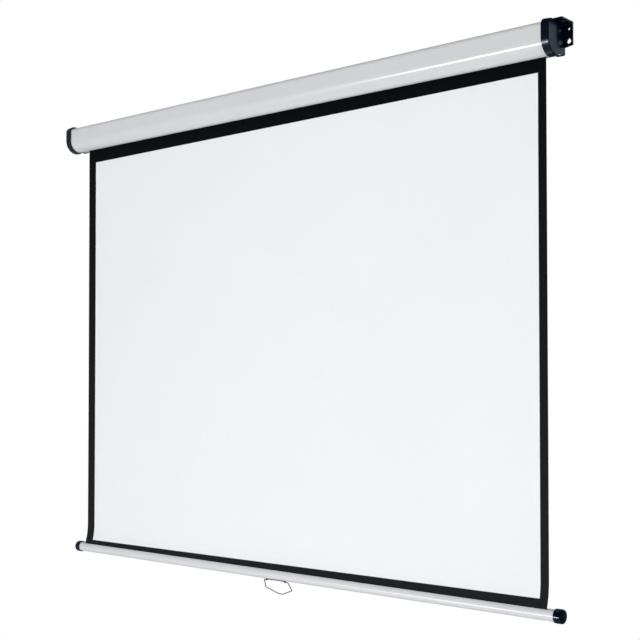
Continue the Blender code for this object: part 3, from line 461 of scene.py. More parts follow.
def pocket_cutter(side):
    """The hollow of the ear, sunk a little into the cap's end wall."""
    top, back = EAR_TOP - EAR_PLATE, -EAR_PLATE
    corners = [((POCKET_FRONT, EAR_BOTTOM), 0), ((POCKET_FRONT, top), 0)]
    corners += [((back, top), 4.0 * MM), ((back, EAR_BOTTOM), 0)]
    outline = rounded(corners, fineness=10.0)
    return prism("pocket", outline, side * (CAP_OUTER - POCKET_DEPTH), side * (EAR_OUTER + MM))


def inner_ribs():
    """Ribs inside the tube: two on top, one in front, one behind, and the block for the screw."""
    gap = CASE_WALL + CAP_GAP
    top, front, back = CASE_TOP - gap, CASE_FRONT + gap, CASE_BACK - gap
    ribs = [((y - RIB_HALF, top - RIB_DEPTH), (y + RIB_HALF, top)) for y in TOP_RIBS]
    ribs.append(((front, FRONT_RIB - RIB_HALF), (front + RIB_DEPTH, FRONT_RIB + RIB_HALF)))
    ribs.append(((back - RIB_DEPTH, BACK_RIB - RIB_HALF), (back, BACK_RIB + RIB_HALF)))
    ribs.append(((back - 2 * RIB_DEPTH, SCREW_Z - RIB_DEPTH), (back, SCREW_Z + RIB_DEPTH)))
    return ribs


CAP_ABS = moulded_abs("moulded_abs", 0.23, 0.29)
for side, name in ((-1, "left_end_cap"), (1, "right_end_cap")):
    inner, outer, floor = side * CAP_INNER, side * CAP_OUTER, side * CAP_FLOOR
    rim = case_section(CAP_PROUD, CAP_FLOOR_PROUD, CAP_BACK_PROUD)
    cap = prism(name + "_moulded", rim, inner, outer, CAP_ABS)
    brow = CASE_RADII[1] + CAP_PROUD
    for corner in cap.data.vertices:
        if near(corner.co.x, outer):
            above = max(0.0, corner.co.z - (CASE_TOP + CAP_PROUD - brow))
            corner.co.z -= CAP_DRAFT * above / brow
    round_edges(cap, CAP_EDGE, 8, lambda *ends: all(near(end.x, outer) for end in ends))
    round_edges(cap, RIM_EDGE, 3, lambda *ends: all(near(end.x, inner) for end in ends))
    hollow = case_section(CAP_GAP, CAP_GAP, CAP_GAP)
    carve(cap, prism("hollow", hollow, inner - side * 5 * MM, floor))
    carve(cap, mouth_cutter(side))
    carve(cap, mounting_ear(side), "UNION")
    carve(cap, pocket_cutter(side))
    carve(cap, hanger_cutter(side))
    screw_way = (side * EAR_HOLE_X, MM, 0.0), (side * EAR_HOLE_X, -2 * EAR_PLATE, 0.0)
    carve(cap, rod(WALL_HOLE, *screw_way))
    carve(cap, ceiling_slot_cutter(side))
    boss = (side * BOSS_START, AXIS_Y, AXIS_Z), (floor + side * MM, AXIS_Y, AXIS_Z)
    carve(cap, rod(BOSS_RADIUS, *boss, sides=48), "UNION")
    for low, high in inner_ribs():
        carve(cap, block((inner - side * 3 * MM, *low), (floor + side * MM, *high)), "UNION")
    shank = (side * SCREW_X, MM, SCREW_Z), (side * SCREW_X, -22 * MM, SCREW_Z)
    carve(cap, rod(SCREW_HOLE, *shank))
    if side == 1:
        bore = [(x, AXIS_Y, AXIS_Z) for x in BUSH_SEAT]
        carve(cap, rod(BUSH_SEAT_RADIUS, *bore, sides=48))
    else:
        wide, tall = TONGUE_SEAT_HALF
        low = (TONGUE_SEAT[0], AXIS_Y - wide, AXIS_Z - tall)
        carve(cap, block(low, (TONGUE_SEAT[1], AXIS_Y + wide, AXIS_Z + tall)))
    soften(cap, 0.35 * MM)
    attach(cap, "case")
    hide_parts(name)


# Cap screws. Self-tapping pan-head screws of steel with bright zinc plate and a cross recess,
# driven from behind through the cap and the tube into the block inside the cap.
SCREW_HEAD = 3.0 * MM
SCREW_HEAD_HEIGHT = 1.5 * MM
SCREW_HEAD_BASE = -1.5 * MM
SCREW_RECESS = (2.0 * MM, 0.35 * MM)
SCREW_RECESS_FLOOR = 0.55 * MM
SCREW_LENGTH = 11.0 * MM
SCREW_TIP = 1.6 * MM
THREAD_CREST = 1.45 * MM
THREAD_ROOT = 1.1 * MM
THREAD_PITCH = 1.1 * MM
THREAD_START = -0.4 * MM
ZINC = "#C9CCCC"
ZINC_SHADE = "#A9AFB3"


def bright_zinc_plate():
    """Steel electroplated with zinc and passivated: bright grey metal, a little blue, with a fine
    crystal mottle 1.5 mm across in its gloss."""
    made, tree, shader, place = new_finish("bright_zinc_plate", {"Metallic": 1.0})
    mottle = add_node(tree, "TexVoronoi", "Color", {"Vector": place, "Scale": 1 / (1.5 * MM)})
    cloud = add_node(tree, "TexNoise", "Fac", {"Vector": place, "Scale": 1 / (6 * MM), "Detail": 4.0})
    tint(tree, shader, cloud, ZINC, ZINC_SHADE)
    vary_roughness(tree, shader, mottle, 0.24, 0.4)
    raise_grain(tree, shader, cloud, 0.02 * MM)
    return made


def turned(name, profile, finish, sides):
    """A piece turned about X from points of (radius, distance along X)."""
    form = bmesh.new()
    rings = []
    for radius, along in profile:
        if radius == 0:
            rings.append([form.verts.new((along, 0.0, 0.0))])
            continue
        ring = []
        for step in range(sides):
            angle = 2 * math.pi * step / sides
            spot = (along, radius * math.cos(angle), radius * math.sin(angle))
            ring.append(form.verts.new(spot))
        rings.append(ring)
    for first, second in zip(rings, rings[1:]):
        for step in range(sides):
            corners = [first[step % len(first)], first[(step + 1) % len(first)]]
            corners += [second[(step + 1) % len(second)], second[step % len(second)]]
            form.faces.new(list(dict.fromkeys(corners)))
    bmesh.ops.recalc_face_normals(form, faces=form.faces)
    return add_piece(name, form, finish)


def put(piece, place):
    """Moves a piece's mesh to where it belongs, so that its object stays at the origin."""
    piece.data.transform(place)
    piece.data.update()


ZINC_PLATE = bright_zinc_plate()
dome = [((0.0, SCREW_HEAD_HEIGHT), 0), ((0.75 * SCREW_HEAD, 1.45 * MM), 1.3 * MM)]
dome.append(((SCREW_HEAD, 0.25 * MM), 0))
screw_profile = rounded(dome, fineness=8.0) + [(SCREW_HEAD, 0.0), (THREAD_ROOT, 0.0)]
along = THREAD_START
while along - THREAD_PITCH / 2 > SCREW_TIP - SCREW_LENGTH:
    screw_profile += [(THREAD_ROOT, along), (THREAD_CREST, along - THREAD_PITCH / 2)]
    along -= THREAD_PITCH
screw_profile += [(THREAD_ROOT, SCREW_TIP - SCREW_LENGTH), (0.0, -SCREW_LENGTH)]
for side, name in ((-1, "left_cap_screw"), (1, "right_cap_screw")):
    screw = turned(name + "_zinc", screw_profile, ZINC_PLATE, sides=40)
    for across, up in (SCREW_RECESS, SCREW_RECESS[::-1]):
        low = (SCREW_RECESS_FLOOR, -across, -up)
        carve(screw, block(low, (SCREW_HEAD_HEIGHT + 0.5 * MM, across, up)))
    turn = Matrix.Rotation(math.pi / 2, 4, "Z")
    put(screw, Matrix.Translation((side * SCREW_X, SCREW_HEAD_BASE, SCREW_Z)) @ turn)
    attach(screw, "case")
    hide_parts(name)


# Spindle, ratchet wheel, spring anchor and bush. The still parts inside the roller: a zinc-plated
# steel rod whose flat tongue is held in the left cap, a stamped wheel on that tongue, an acetal
# collar that holds the spring's still end, and an acetal bush in the right cap's boss.
ACETAL_WHITE = "#DAD7CC"
ACETAL_SHADE = "#CFCBBE"


def moulded_acetal():
    """Natural acetal, moulded or turned: milky off-white with a waxy, slightly clouded skin and
    light passing a little way in."""
    waxy = {"IOR": 1.48, "Subsurface Weight": 0.1, "Subsurface Scale": 1.0 * MM}
    made, tree, shader, place = new_finish("moulded_acetal", waxy)
    cloud = add_node(tree, "TexNoise", "Fac", {"Vector": place, "Scale": 1 / (8 * MM), "Detail": 3.0})
    tint(tree, shader, cloud, ACETAL_WHITE, ACETAL_SHADE)
    vary_roughness(tree, shader, cloud, 0.32, 0.46)
    raise_grain(tree, shader, cloud, 0.01 * MM)
    return made


def give(node_names, finish):
    """Gives CAD nodes, whose shape is right as it is, their real finish."""
    for node_name in node_names:
        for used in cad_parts[node_name].material_slots:
            used.material = finish


ACETAL = moulded_acetal()
give(("spring_spindle", "ratchet_wheel"), ZINC_PLATE)
give(("spring_anchor", "idle_bush"), ACETAL)


# Roller. A seam-welded steel tube, galvanised, with an acetal plug in each end: the left one
# carries the pawls and turns on the spindle, the right one holds the pin that turns in the bush.
ROLLER_GREY = "#B4B8BA"
ROLLER_GREY_SHADE = "#8F9497"


def galvanised_tube():
    """Strip galvanised before it was rolled into a tube: dull silver metal with zinc spangle about
    9 mm across, drawn out along the tube, and fine drawing lines along it."""
    made, tree, shader, place = new_finish("galvanised_tube", {"Metallic": 1.0})
    drawn = add_node(tree, "Mapping", "Vector", {"Vector": place, "Scale": (0.5, 1.0, 1.0)})
    spangle = add_node(tree, "TexVoronoi", "Color", {"Vector": drawn, "Scale": 1 / (9 * MM)})
    lined = add_node(tree, "Mapping", "Vector", {"Vector": place, "Scale": (0.02, 1.0, 1.0)})
    lines = add_node(tree, "TexNoise", "Fac", {"Vector": lined, "Scale": 1 / (0.6 * MM)})
    tint(tree, shader, spangle, ROLLER_GREY, ROLLER_GREY_SHADE)
    vary_roughness(tree, shader, spangle, 0.36, 0.52)
    raise_grain(tree, shader, lines, 0.01 * MM)
    return made


give(("roller_tube",), galvanised_tube())
give(("spring_end_plug", "idle_end_plug"), ACETAL)
give(("gudgeon_pin", "pawl_pin_a", "pawl_pin_b"), ZINC_PLATE)


# Pawls. Stamped and tumbled steel, hardened and zinc-plated, each loose on its headed pin. One
# drops in a notch of the wheel when the fabric is drawn to its length, and holds the roller.
PAWL_STEEL = "#9DA2A6"
PAWL_STEEL_SHADE = "#7F858A"


def tumbled_steel():
    """Stamped steel, tumbled and plated: soft grey metal, its gloss broken by small dints 0.7 mm
    across."""
    made, tree, shader, place = new_finish("tumbled_steel", {"Metallic": 1.0})
    dints = add_node(tree, "TexNoise", "Fac", {"Vector": place, "Scale": 1 / (0.7 * MM), "Detail": 3.0})
    tint(tree, shader, dints, PAWL_STEEL, PAWL_STEEL_SHADE)
    vary_roughness(tree, shader, dints, 0.3, 0.5)
    raise_grain(tree, shader, dints, 0.02 * MM)
    return made


give(("pawl_a", "pawl_b"), tumbled_steel())


# Torsion spring. Hard-drawn steel wire wound on a helix, blued by its stress relief and oiled. It
# grips the spigots of the left plug and of the anchor, and winds the fabric up.
SPRING_DARK = "#5A5C60"
SPRING_BLUED = "#3C4048"


def oiled_spring_wire():
    """Hard-drawn wire, stress-relieved and oiled: dark metal with a bluish cast in patches, drawing
    lines along it and a wet gloss."""
    made, tree, shader, place = new_finish("oiled_spring_wire", {"Metallic": 1.0})
    patches = add_node(tree, "TexNoise", "Fac", {"Vector": place, "Scale": 1 / (5 * MM), "Detail": 3.0})
    fine = add_node(tree, "TexNoise", "Fac", {"Vector": place, "Scale": 1 / (0.4 * MM)})
    tint(tree, shader, patches, SPRING_DARK, SPRING_BLUED)
    vary_roughness(tree, shader, fine, 0.26, 0.42)
    raise_grain(tree, shader, fine, 0.01 * MM)
    return made


give(("torsion_spring",), oiled_spring_wire())


# Fabric. Matt white vinyl on woven glass, 0.4 mm thick, with a black back and a black border
# printed round the picture, a little askew. The border's black is painted lighter towards the foot
# and left darkest at the top, as painted light from below and painted shade under the case. It
# hangs from the back of the roller, and at its foot it curls forward into the weight bar.
FABRIC_HALF = 750.0 * MM
FABRIC_Y = -16.0 * MM
FABRIC_THICKNESS = 0.4 * MM
HEM_HEIGHT = 30.0 * MM
CURL_HEIGHT = 55.0 * MM
BAR_Y = -20.0 * MM
BAR_Z = -1198.8 * MM
BAR_RADIUS = 12.7 * MM
BAR_WALL = 1.2 * MM
BAR_TILT = math.radians(24)
WELT_POCKET = 3.0 * MM
WELT_CLEAR = 0.5 * MM
PRINT_WIDTH = 1450.0 * MM
PRINT_HEIGHT = 1087.0 * MM
PRINT_CENTRE = (5.3 * MM, -629.2 * MM)
PRINT_SKEW = math.tan(math.radians(0.31))
WAVE_DEPTH = 0.8 * MM
HANG_STEPS = 64
CURL_STEPS = 28
POCKET_ENTRY_DEGREES = 12
POCKET_TURN_DEGREES = 318
SIDE_STEPS = 3
PICTURE_STEPS = 72
TOP_STEPS = 6
FABRIC_WHITE = "#EDEFF0"
FABRIC_WHITE_SHADE = "#E9EBED"
BORDER_BLACK = "#050608"
BORDER_BLACK_LIFTED = "#090A0C"
# Painted light: the border's lighter tone at the foot, where light from below falls.
BORDER_BLACK_PAINTED_LIGHT = "#1C1D1F"
BACKING_BLACK = "#131416"
BACKING_BLACK_LIFTED = "#1A1B1D"


def coated_cloth(name, light, shade, rough, depth, foot=None):
    """Vinyl on woven glass, calendered matt: no gloss, a fine leathery tooth 1.2 mm across, and
    the weave's threads, 0.5 mm apart in the cloth, drawn at 2 mm so that they show. A print can
    be given painted light and shade: its tone runs from darkest at the top of the cloth to a lighter
    one towards the foot."""
    made, tree, shader, _ = new_finish(name, {"IOR": 1.4, "Specular IOR Level": 0.12})
    cloth = add_node(tree, "UVMap", "UV", {}, uv_map="cloth")
    tooth = add_node(tree, "TexNoise", "Fac", {"Vector": cloth, "Scale": 1 / (1.2 * MM), "Detail": 3.0})
    cloud = add_node(tree, "TexNoise", "Fac", {"Vector": cloth, "Scale": 1 / (240 * MM), "Detail": 3.0})
    tone = tint(tree, shader, cloud, light, shade)
    # Painted shade and light: the tone runs from darkest at the top, in the case's shade, to the lit tone
    # near the hem.
    if foot:
        run = add_node(tree, "SeparateXYZ", "Y", {"Vector": cloth})
        ends = {"Value": run, "From Min": 0.05, "From Max": HEM_START}
        blend = {0: add_node(tree, "MapRange", "Result", ends), 6: tone, 7: linear(foot)}
        painted_light_tone = add_node(tree, "Mix", 2, blend, data_type="RGBA")
        tree.links.new(painted_light_tone, shader.inputs["Base Color"])
    vary_roughness(tree, shader, tooth, rough - 0.06, rough + 0.04)
    raise_grain(tree, shader, tooth, depth)
    weave = {"Vector": cloth, "Scale": math.pi / (10 * 2 * MM), "Distortion": 0.4}
    for direction in ("X", "Y"):
        threads = add_node(tree, "TexWave", "Fac", weave, bands_direction=direction)
        raise_grain(tree, shader, threads, 0.4 * depth)
    return made


def cloth_path():
    """The cloth's run from the roller to the end of its pocket, closer points where it bends."""
    slot = BAR_Z + BAR_RADIUS * math.cos(BAR_TILT)
    hang = slot + CURL_HEIGHT - AXIS_Z
    points = [Vector((FABRIC_Y, AXIS_Z + hang * n / HANG_STEPS)) for n in range(HANG_STEPS)]
    foot = BAR_Y - BAR_RADIUS * math.sin(BAR_TILT)
    for step in range(CURL_STEPS + 1):
        share = step / CURL_STEPS
        y = FABRIC_Y + (foot - FABRIC_Y) * share**2
        points.append(Vector((y, slot + CURL_HEIGHT * (1 - share))))
    inside = BAR_RADIUS - BAR_WALL - WELT_POCKET - WELT_CLEAR
    centre = BAR_Y - inside * math.sin(BAR_TILT), BAR_Z + inside * math.cos(BAR_TILT)
    entry = 90 + math.degrees(BAR_TILT) - POCKET_ENTRY_DEGREES
    return points + arc(centre, WELT_POCKET, entry, entry - POCKET_TURN_DEGREES, fineness=8.8)


CLOTH_PATH = cloth_path()
CLOTH_RUN = [0.0]
for first, second in zip(CLOTH_PATH, CLOTH_PATH[1:]):
    CLOTH_RUN.append(CLOTH_RUN[-1] + (second - first).length)
SLOT_RUN = CLOTH_RUN[HANG_STEPS + CURL_STEPS]
HEM_START = SLOT_RUN - HEM_HEIGHT


def cloth_place(run):
    """Where the cloth is at a length from the roller, and which way its front faces there."""
    index = 1
    while index < len(CLOTH_RUN) - 1 and CLOTH_RUN[index] < run:
        index += 1
    first, second = CLOTH_PATH[index - 1], CLOTH_PATH[index]
    share = (run - CLOTH_RUN[index - 1]) / (CLOTH_RUN[index] - CLOTH_RUN[index - 1])
    along = (second - first).normalized()
    return first.lerp(second, share), Vector((along.y, -along.x))


def wave(x, run):
    """The slow waves that a hanging cloth keeps, none at the roller and none at the bar."""
    hold = math.sin(math.pi * min(1.0, run / HEM_START))
    ripple = math.sin(x * 7.1 + 0.8) + 0.6 * math.sin(x * 12.7 + run * 1.9 + 2.0)
    return WAVE_DEPTH * hold * ripple / 1.6


def grid_lines(*stops):
    """Lines across the cloth at evenly spaced steps between stops of (at, skew, count)."""
    made = [stops[0][:2]]
    for (start, start_skew, _), (end, end_skew, count) in zip(stops, stops[1:]):
        for step in range(1, count + 1):
            share = step / count
            skew = start_skew + (end_skew - start_skew) * share
            made.append((start + (end - start) * share, skew))
    return made


def printed_cloth(name, rows, picture_rows, *finishes):
    """A cloth panel on a grid whose lines follow the print's edges, its rows given as (at, skew).
    Faces inside the print take the first finish, the rest of the front and the cut edges the
    second, and the back the third."""
    form = bmesh.new()
    flat = form.loops.layers.uv.new("cloth")
    spots, grids = {}, []
    for lift in (FABRIC_THICKNESS / 2, -FABRIC_THICKNESS / 2):
        grid = []
        for at, skew in rows:
            grid.append([])
            for x in COLUMNS:
                run = at - skew * (x - PRINT_CENTRE[0])
                (y, z), facing = cloth_place(run)
                y += wave(x, run)
                knot = form.verts.new((x, y + facing.x * lift, z + facing.y * lift))
                spots[knot] = x, run
                grid[-1].append(knot)
        grids.append(grid)
    front, back = grids
    last_row, last_column = len(rows) - 1, len(COLUMNS) - 1
    for row in range(last_row):
        for column in range(last_column):
            printed = row in picture_rows and column in PICTURE_COLUMNS
            for grid, turn, finish in ((front, -1, 0 if printed else 1), (back, 1, 2)):
                square = grid[row][column : column + 2] + grid[row + 1][column : column + 2][::-1]
                form.faces.new(square[::turn]).material_index = finish
    sides = [(row, column, 1, 0) for row in range(last_row) for column in (0, last_column)]
    sides += [(row, column, 0, 1) for row in (0, last_row) for column in range(last_column)]
    for row, column, down, across in sides:
        edge = [grid[row][column] for grid in grids]
        edge += [grid[row + down][column + across] for grid in grids[::-1]]
        form.faces.new(edge).material_index = 1
    bmesh.ops.recalc_face_normals(form, faces=form.faces)
    for face in form.faces:
        for loop in face.loops:
            loop[flat].uv = spots[loop.vert]
    return add_piece(name, form, *finishes, sharp=math.radians(50))


cloth_finishes = (
    coated_cloth("matt_white_vinyl", FABRIC_WHITE, FABRIC_WHITE_SHADE, 0.9, 0.02 * MM),
    # The border's last tone is painted light towards its foot.
    coated_cloth(
        "printed_black_border", BORDER_BLACK, BORDER_BLACK_LIFTED, 0.72, 0.02 * MM, BORDER_BLACK_PAINTED_LIGHT
    ),
    coated_cloth("black_backing", BACKING_BLACK, BACKING_BLACK_LIFTED, 0.8, 0.03 * MM),
)
print_top = AXIS_Z - PRINT_CENTRE[1] - PRINT_HEIGHT / 2
print_foot = print_top + PRINT_HEIGHT
across = grid_lines(
    (-FABRIC_HALF, 0.0, 0),
    (PRINT_CENTRE[0] - PRINT_WIDTH / 2, 0.0, SIDE_STEPS),
    (PRINT_CENTRE[0] + PRINT_WIDTH / 2, 0.0, PICTURE_STEPS),
    (FABRIC_HALF, 0.0, SIDE_STEPS),
)
COLUMNS = [x for x, _ in across]
PICTURE_COLUMNS = range(SIDE_STEPS, SIDE_STEPS + PICTURE_STEPS)
rows = grid_lines((0.0, 0.0, 0), (print_top, PRINT_SKEW, TOP_STEPS), (HEM_START, 0.0, 60))
picture_rows = range(TOP_STEPS, len(rows))
fabric = printed_cloth("screen_fabric_printed", rows, picture_rows, *cloth_finishes)
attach(fabric, "case")
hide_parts("screen_fabric")
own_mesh(fabric)


# Hem and welt. The foot of the same cloth, turned back on itself and welded into a pocket round a
# plastic rod. The rod is slid in from the end of the bar, and is too thick for the bar's slot.
HEM_PRINT_STEPS = 4
hem_print = (print_foot, PRINT_SKEW, HEM_PRINT_STEPS)
hem_rows = grid_lines((HEM_START, 0.0, 0), hem_print, (SLOT_RUN, 0.0, 6), (CLOTH_RUN[-1], 0.0, 40))
hem = printed_cloth("fabric_hem_printed", hem_rows, range(HEM_PRINT_STEPS), *cloth_finishes)
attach(hem, "bar")
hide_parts("fabric_hem")
give(("hem_welt",), ACETAL)


# Winding. The last turns of cloth that stay on the roller when the screen is drawn, black border
# outwards. They are taped to the roller along one line, and leave it at the back.
WIND_START = 15.75 * MM
WIND_END = FABRIC_Y - AXIS_Y
WIND_TURNS = 2.0
WIND_STEPS = 96
wound_path = []
for step in range(WIND_STEPS + 1):
    share = step / WIND_STEPS
    radius = WIND_START + (WIND_END - WIND_START) * share
    angle = 2 * math.pi * WIND_TURNS * (share - 1)
    wound_path.append((AXIS_Y + radius * math.cos(angle), AXIS_Z + radius * math.sin(angle)))
wound_cloth = coated_cloth("wound_border", BORDER_BLACK, BORDER_BLACK_LIFTED, 0.72, 0.02 * MM)
wound = bent_strip("wound_fabric_black", wound_path, FABRIC_HALF, FABRIC_THICKNESS, 0.0, wound_cloth)
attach(wound, "roller")
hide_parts("wound_fabric")


# Weight bar. An extruded aluminium tube, 25 mm across, slotted along its upper front for the hem
# and lacquered white. Its weight keeps the fabric flat.
BAR_HALF = 781.5 * MM
BAR_SLOT_DEGREES = 6
HANDLE_X = -7.0 * MM
RIVET_X = 18.0 * MM
RIVET_HOLE = 1.9 * MM
BAR_WHITE = "#D8D9DC"
BAR_WHITE_SHADE = "#D2D3D7"


def lacquered_aluminium():
    """Extruded aluminium under white lacquer: smooth and glossier than powder, with the die's
    lines showing through lengthwise, 0.8 mm apart and drawn over 60 mm."""
    made, tree, shader, place = new_finish("lacquered_aluminium", {"IOR": 1.5})
    stretched = {"Vector": place, "Scale": (0.013, 1.0, 1.0)}
    drawn = add_node(tree, "Mapping", "Vector", stretched)
    die_lines = add_node(tree, "TexNoise", "Fac", {"Vector": drawn, "Scale": 1 / (0.8 * MM)})
    cloud = add_node(tree, "TexNoise", "Fac", {"Vector": place, "Scale": 1 / (120 * MM), "Detail": 3.0})
    tint(tree, shader, cloud, BAR_WHITE, BAR_WHITE_SHADE)
    vary_roughness(tree, shader, die_lines, 0.22, 0.3)
    raise_grain(tree, shader, die_lines, 0.004 * MM)
    return made


def rivet_holes(body):
    for side in (-1, 1):
        x = HANDLE_X + side * RIVET_X
        bottom = BAR_Z - BAR_RADIUS
        ends = (x, BAR_Y, bottom - 3 * MM), (x, BAR_Y, bottom + 4 * MM)
        carve(body, rod(RIVET_HOLE, *ends))


slot_at = 90 + math.degrees(BAR_TILT)
bar_path = arc((BAR_Y, BAR_Z), BAR_RADIUS, slot_at - BAR_SLOT_DEGREES, slot_at + BAR_SLOT_DEGREES - 360)
bar = bent_strip("bar_tube_lacquered", bar_path, BAR_HALF, BAR_WALL, -1.0, lacquered_aluminium())
rivet_holes(bar)
soften(bar, 0.25 * MM)
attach(bar, "bar")
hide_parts("bar_tube")


# Bar caps. Moulded in the same blue-black ABS as the end caps, in a polished mould: a sleeve over
# the tube's end with a rounded outer edge, and a hollow plug that grips inside the tube.
BAR_CAP_INNER = 768.0 * MM
BAR_CAP_OUTER = 786.0 * MM
BAR_CAP_RADIUS = 15.0 * MM
BAR_CAP_PLUG = 10.0 * MM
BAR_CAP_WALL = 2.0 * MM
POLISHED_ABS = moulded_abs("polished_abs", 0.12, 0.16)
sleeve = BAR_RADIUS + CAP_GAP
plug = BAR_RADIUS - BAR_WALL - CAP_GAP
bore = plug - BAR_CAP_WALL
floor = BAR_HALF - BAR_CAP_INNER + CAP_GAP
length = BAR_CAP_OUTER - BAR_CAP_INNER
cap_corners = [((0.0, length), 0), ((BAR_CAP_RADIUS, length), 3.5 * MM)]
cap_corners += [((BAR_CAP_RADIUS, 0.0), 0.8 * MM), ((sleeve, 0.0), 0.2 * MM)]
cap_corners += [((sleeve, floor), 0.2 * MM), ((plug, floor), 0.2 * MM)]
cap_corners += [((plug, -BAR_CAP_PLUG), 0.8 * MM), ((bore, -BAR_CAP_PLUG), 0.2 * MM)]
cap_corners += [((bore, floor), 0.2 * MM), ((0.0, floor), 0)]
for side, name in ((-1, "left_bar_cap"), (1, "right_bar_cap")):
    profile = rounded(cap_corners, fineness=10)
    bar_cap = turned(name + "_moulded", profile, POLISHED_ABS, sides=96)
    turn = Matrix.Rotation(math.pi * (1 - side) / 2, 4, "Z")
    put(bar_cap, Matrix.Translation((side * BAR_CAP_INNER, BAR_Y, BAR_Z)) @ turn)
    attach(bar_cap, "bar")
    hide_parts(name)


# Handle strap and rivets. A stamped steel strap, blackened, under the middle of the bar, its ends
# turned down into the two eyes that the handle swings in. Two blind rivets with bright heads hold
# it, their bulbs inside the tube.
PIVOT_Z = BAR_Z - BAR_RADIUS - 2.7 * MM
STRAP_THICKNESS = 0.8 * MM
STRAP_WIDTH = 9.0 * MM
STRAP_TOP = BAR_Z - BAR_RADIUS - 0.3 * MM
EYE_X = 31.0 * MM
EYE_RADIUS = 2.3 * MM
EYE_THICKNESS = 1.4 * MM
EYE_ROOT_HALF = 3.0 * MM
WIRE_RADIUS = 1.1 * MM
RIVET_HEAD = 2.7 * MM
RIVET_HEAD_RIM = 2.55 * MM
RIVET_HEAD_HEIGHT = 1.2 * MM
RIVET_SHANK = 1.6 * MM
RIVET_BULB = 2.4 * MM
RIVET_BULB_HEIGHT = 2.9 * MM
STEEL_BLACK = "#2C2D31"
STEEL_BLACK_WORN = "#46484D"


def blackened_steel():
    """Steel wire and strip with a black oxide finish, oiled: dark metal, a little worn to grey in
    patches 4 mm across, with a low gloss."""
    made, tree, shader, place = new_finish("blackened_steel", {"Metallic": 1.0})
    wear = add_node(tree, "TexNoise", "Fac", {"Vector": place, "Scale": 1 / (4 * MM), "Detail": 4.0})
    fine = add_node(tree, "TexNoise", "Fac", {"Vector": place, "Scale": 1 / (0.5 * MM)})
    tint(tree, shader, wear, STEEL_BLACK, STEEL_BLACK_WORN)
    vary_roughness(tree, shader, fine, 0.3, 0.45)
    raise_grain(tree, shader, fine, 0.01 * MM)
    return made


DARK_STEEL = blackened_steel()
reach, half = EYE_X + EYE_THICKNESS / 2, STRAP_WIDTH / 2
outline = rounded_plate((HANDLE_X - reach, BAR_Y - half), (HANDLE_X + reach, BAR_Y + half), 1.2 * MM)
strap_bottom = STRAP_TOP - STRAP_THICKNESS
strap = prism("handle_strap_stamped", outline, strap_bottom, STRAP_TOP, DARK_STEEL, axis=2)
for side in (-1, 1):
    eye_x = HANDLE_X + side * EYE_X
    near_face, far_face = eye_x - EYE_THICKNESS / 2, eye_x + EYE_THICKNESS / 2
    root = STRAP_TOP - STRAP_THICKNESS / 2
    tab = [(BAR_Y + EYE_ROOT_HALF, root)]
    tab += arc((BAR_Y, PIVOT_Z), EYE_RADIUS, 12, -192, fineness=8.5)
    tab.append((BAR_Y - EYE_ROOT_HALF, root))
    carve(strap, prism("eye", tab, near_face, far_face), "UNION")
    ends = (near_face - MM, BAR_Y, PIVOT_Z), (far_face + MM, BAR_Y, PIVOT_Z)
    carve(strap, rod(WIRE_RADIUS + 0.2 * MM, *ends))
rivet_holes(strap)
soften(strap, 0.12 * MM)
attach(strap, "bar")
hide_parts("handle_strap")

inside = STRAP_THICKNESS + 0.3 * MM + BAR_WALL
bulb, bulb_end = inside + 0.3 * MM, inside + 0.3 * MM + RIVET_BULB_HEIGHT
rivet_corners = [((0.0, bulb_end), 0), ((RIVET_BULB, bulb_end), 1.4 * MM)]
rivet_corners += [((RIVET_BULB, bulb), 0.4 * MM), ((RIVET_SHANK, bulb), 0)]
rivet_corners += [((RIVET_SHANK, -0.3 * MM), 0), ((RIVET_HEAD, -0.3 * MM), 0.1 * MM)]
rivet_corners += [((RIVET_HEAD_RIM, -RIVET_HEAD_HEIGHT), 0.7 * MM), ((0.0, -RIVET_HEAD_HEIGHT), 0)]
for side, name in ((-1, "left_strap_rivet"), (1, "right_strap_rivet")):
    rivet = turned(name + "_zinc", rounded(rivet_corners, fineness=10.0), ZINC_PLATE, sides=40)
    upright = Matrix.Rotation(-math.pi / 2, 4, "Y")
    put(rivet, Matrix.Translation((HANDLE_X + side * RIVET_X, BAR_Y, strap_bottom)) @ upright)
    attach(rivet, "bar")
    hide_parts(name)


# Pull handle. One length of blackened steel wire, 2.2 mm thick, bent cold: its ends are turned in
# through the strap's eyes, and its sides slope to a short grip. It hangs a little forward.
BAIL_BEND = 3.0 * MM
BAIL_TILT = math.radians(27)
BAIL_END = (27.0 * MM, 0.0, 0.0)
BAIL_SHOULDER = (39.5 * MM, 0.0, 0.0)
BAIL_ELBOW = (43.7 * MM, 0.0, -23.5 * MM)
BAIL_GRIP = (7.0 * MM, 0.0, -38.7 * MM)


def bent_wire(name, points, radius, finish):
    """Round wire along a path, with square cut ends."""
    curve = bpy.data.curves.new(name, "CURVE")
    curve.dimensions = "3D"
    curve.bevel_depth = radius
    curve.bevel_resolution = 5
    curve.use_fill_caps = True
    line = curve.splines.new("POLY")
    line.points.add(len(points) - 1)
    for knot, point in zip(line.points, points):
        knot.co = (*point, 1.0)
    drawn = bpy.data.objects.new(name + "_line", curve)
    bpy.context.scene.collection.objects.link(drawn)
    graph = bpy.context.evaluated_depsgraph_get()
    form = bmesh.new()
    form.from_mesh(bpy.data.meshes.new_from_object(drawn.evaluated_get(graph)))
    bpy.data.objects.remove(drawn, do_unlink=True)
    return add_piece(name, form, finish)


half_bail = [(BAIL_END, 0)]
half_bail += [(corner, BAIL_BEND) for corner in (BAIL_SHOULDER, BAIL_ELBOW, BAIL_GRIP)]
mirrored = [((-x, y, z), radius) for (x, y, z), radius in half_bail]
bail_path = rounded(mirrored + half_bail[::-1], fineness=9.0)
bail = bent_wire("pull_handle_wire", bail_path, WIRE_RADIUS, DARK_STEEL)
tilt = Matrix.Rotation(BAIL_TILT, 4, "X")
put(bail, Matrix.Translation((HANDLE_X, BAR_Y, PIVOT_Z)) @ tilt)
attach(bail, "handle")
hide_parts("pull_handle")


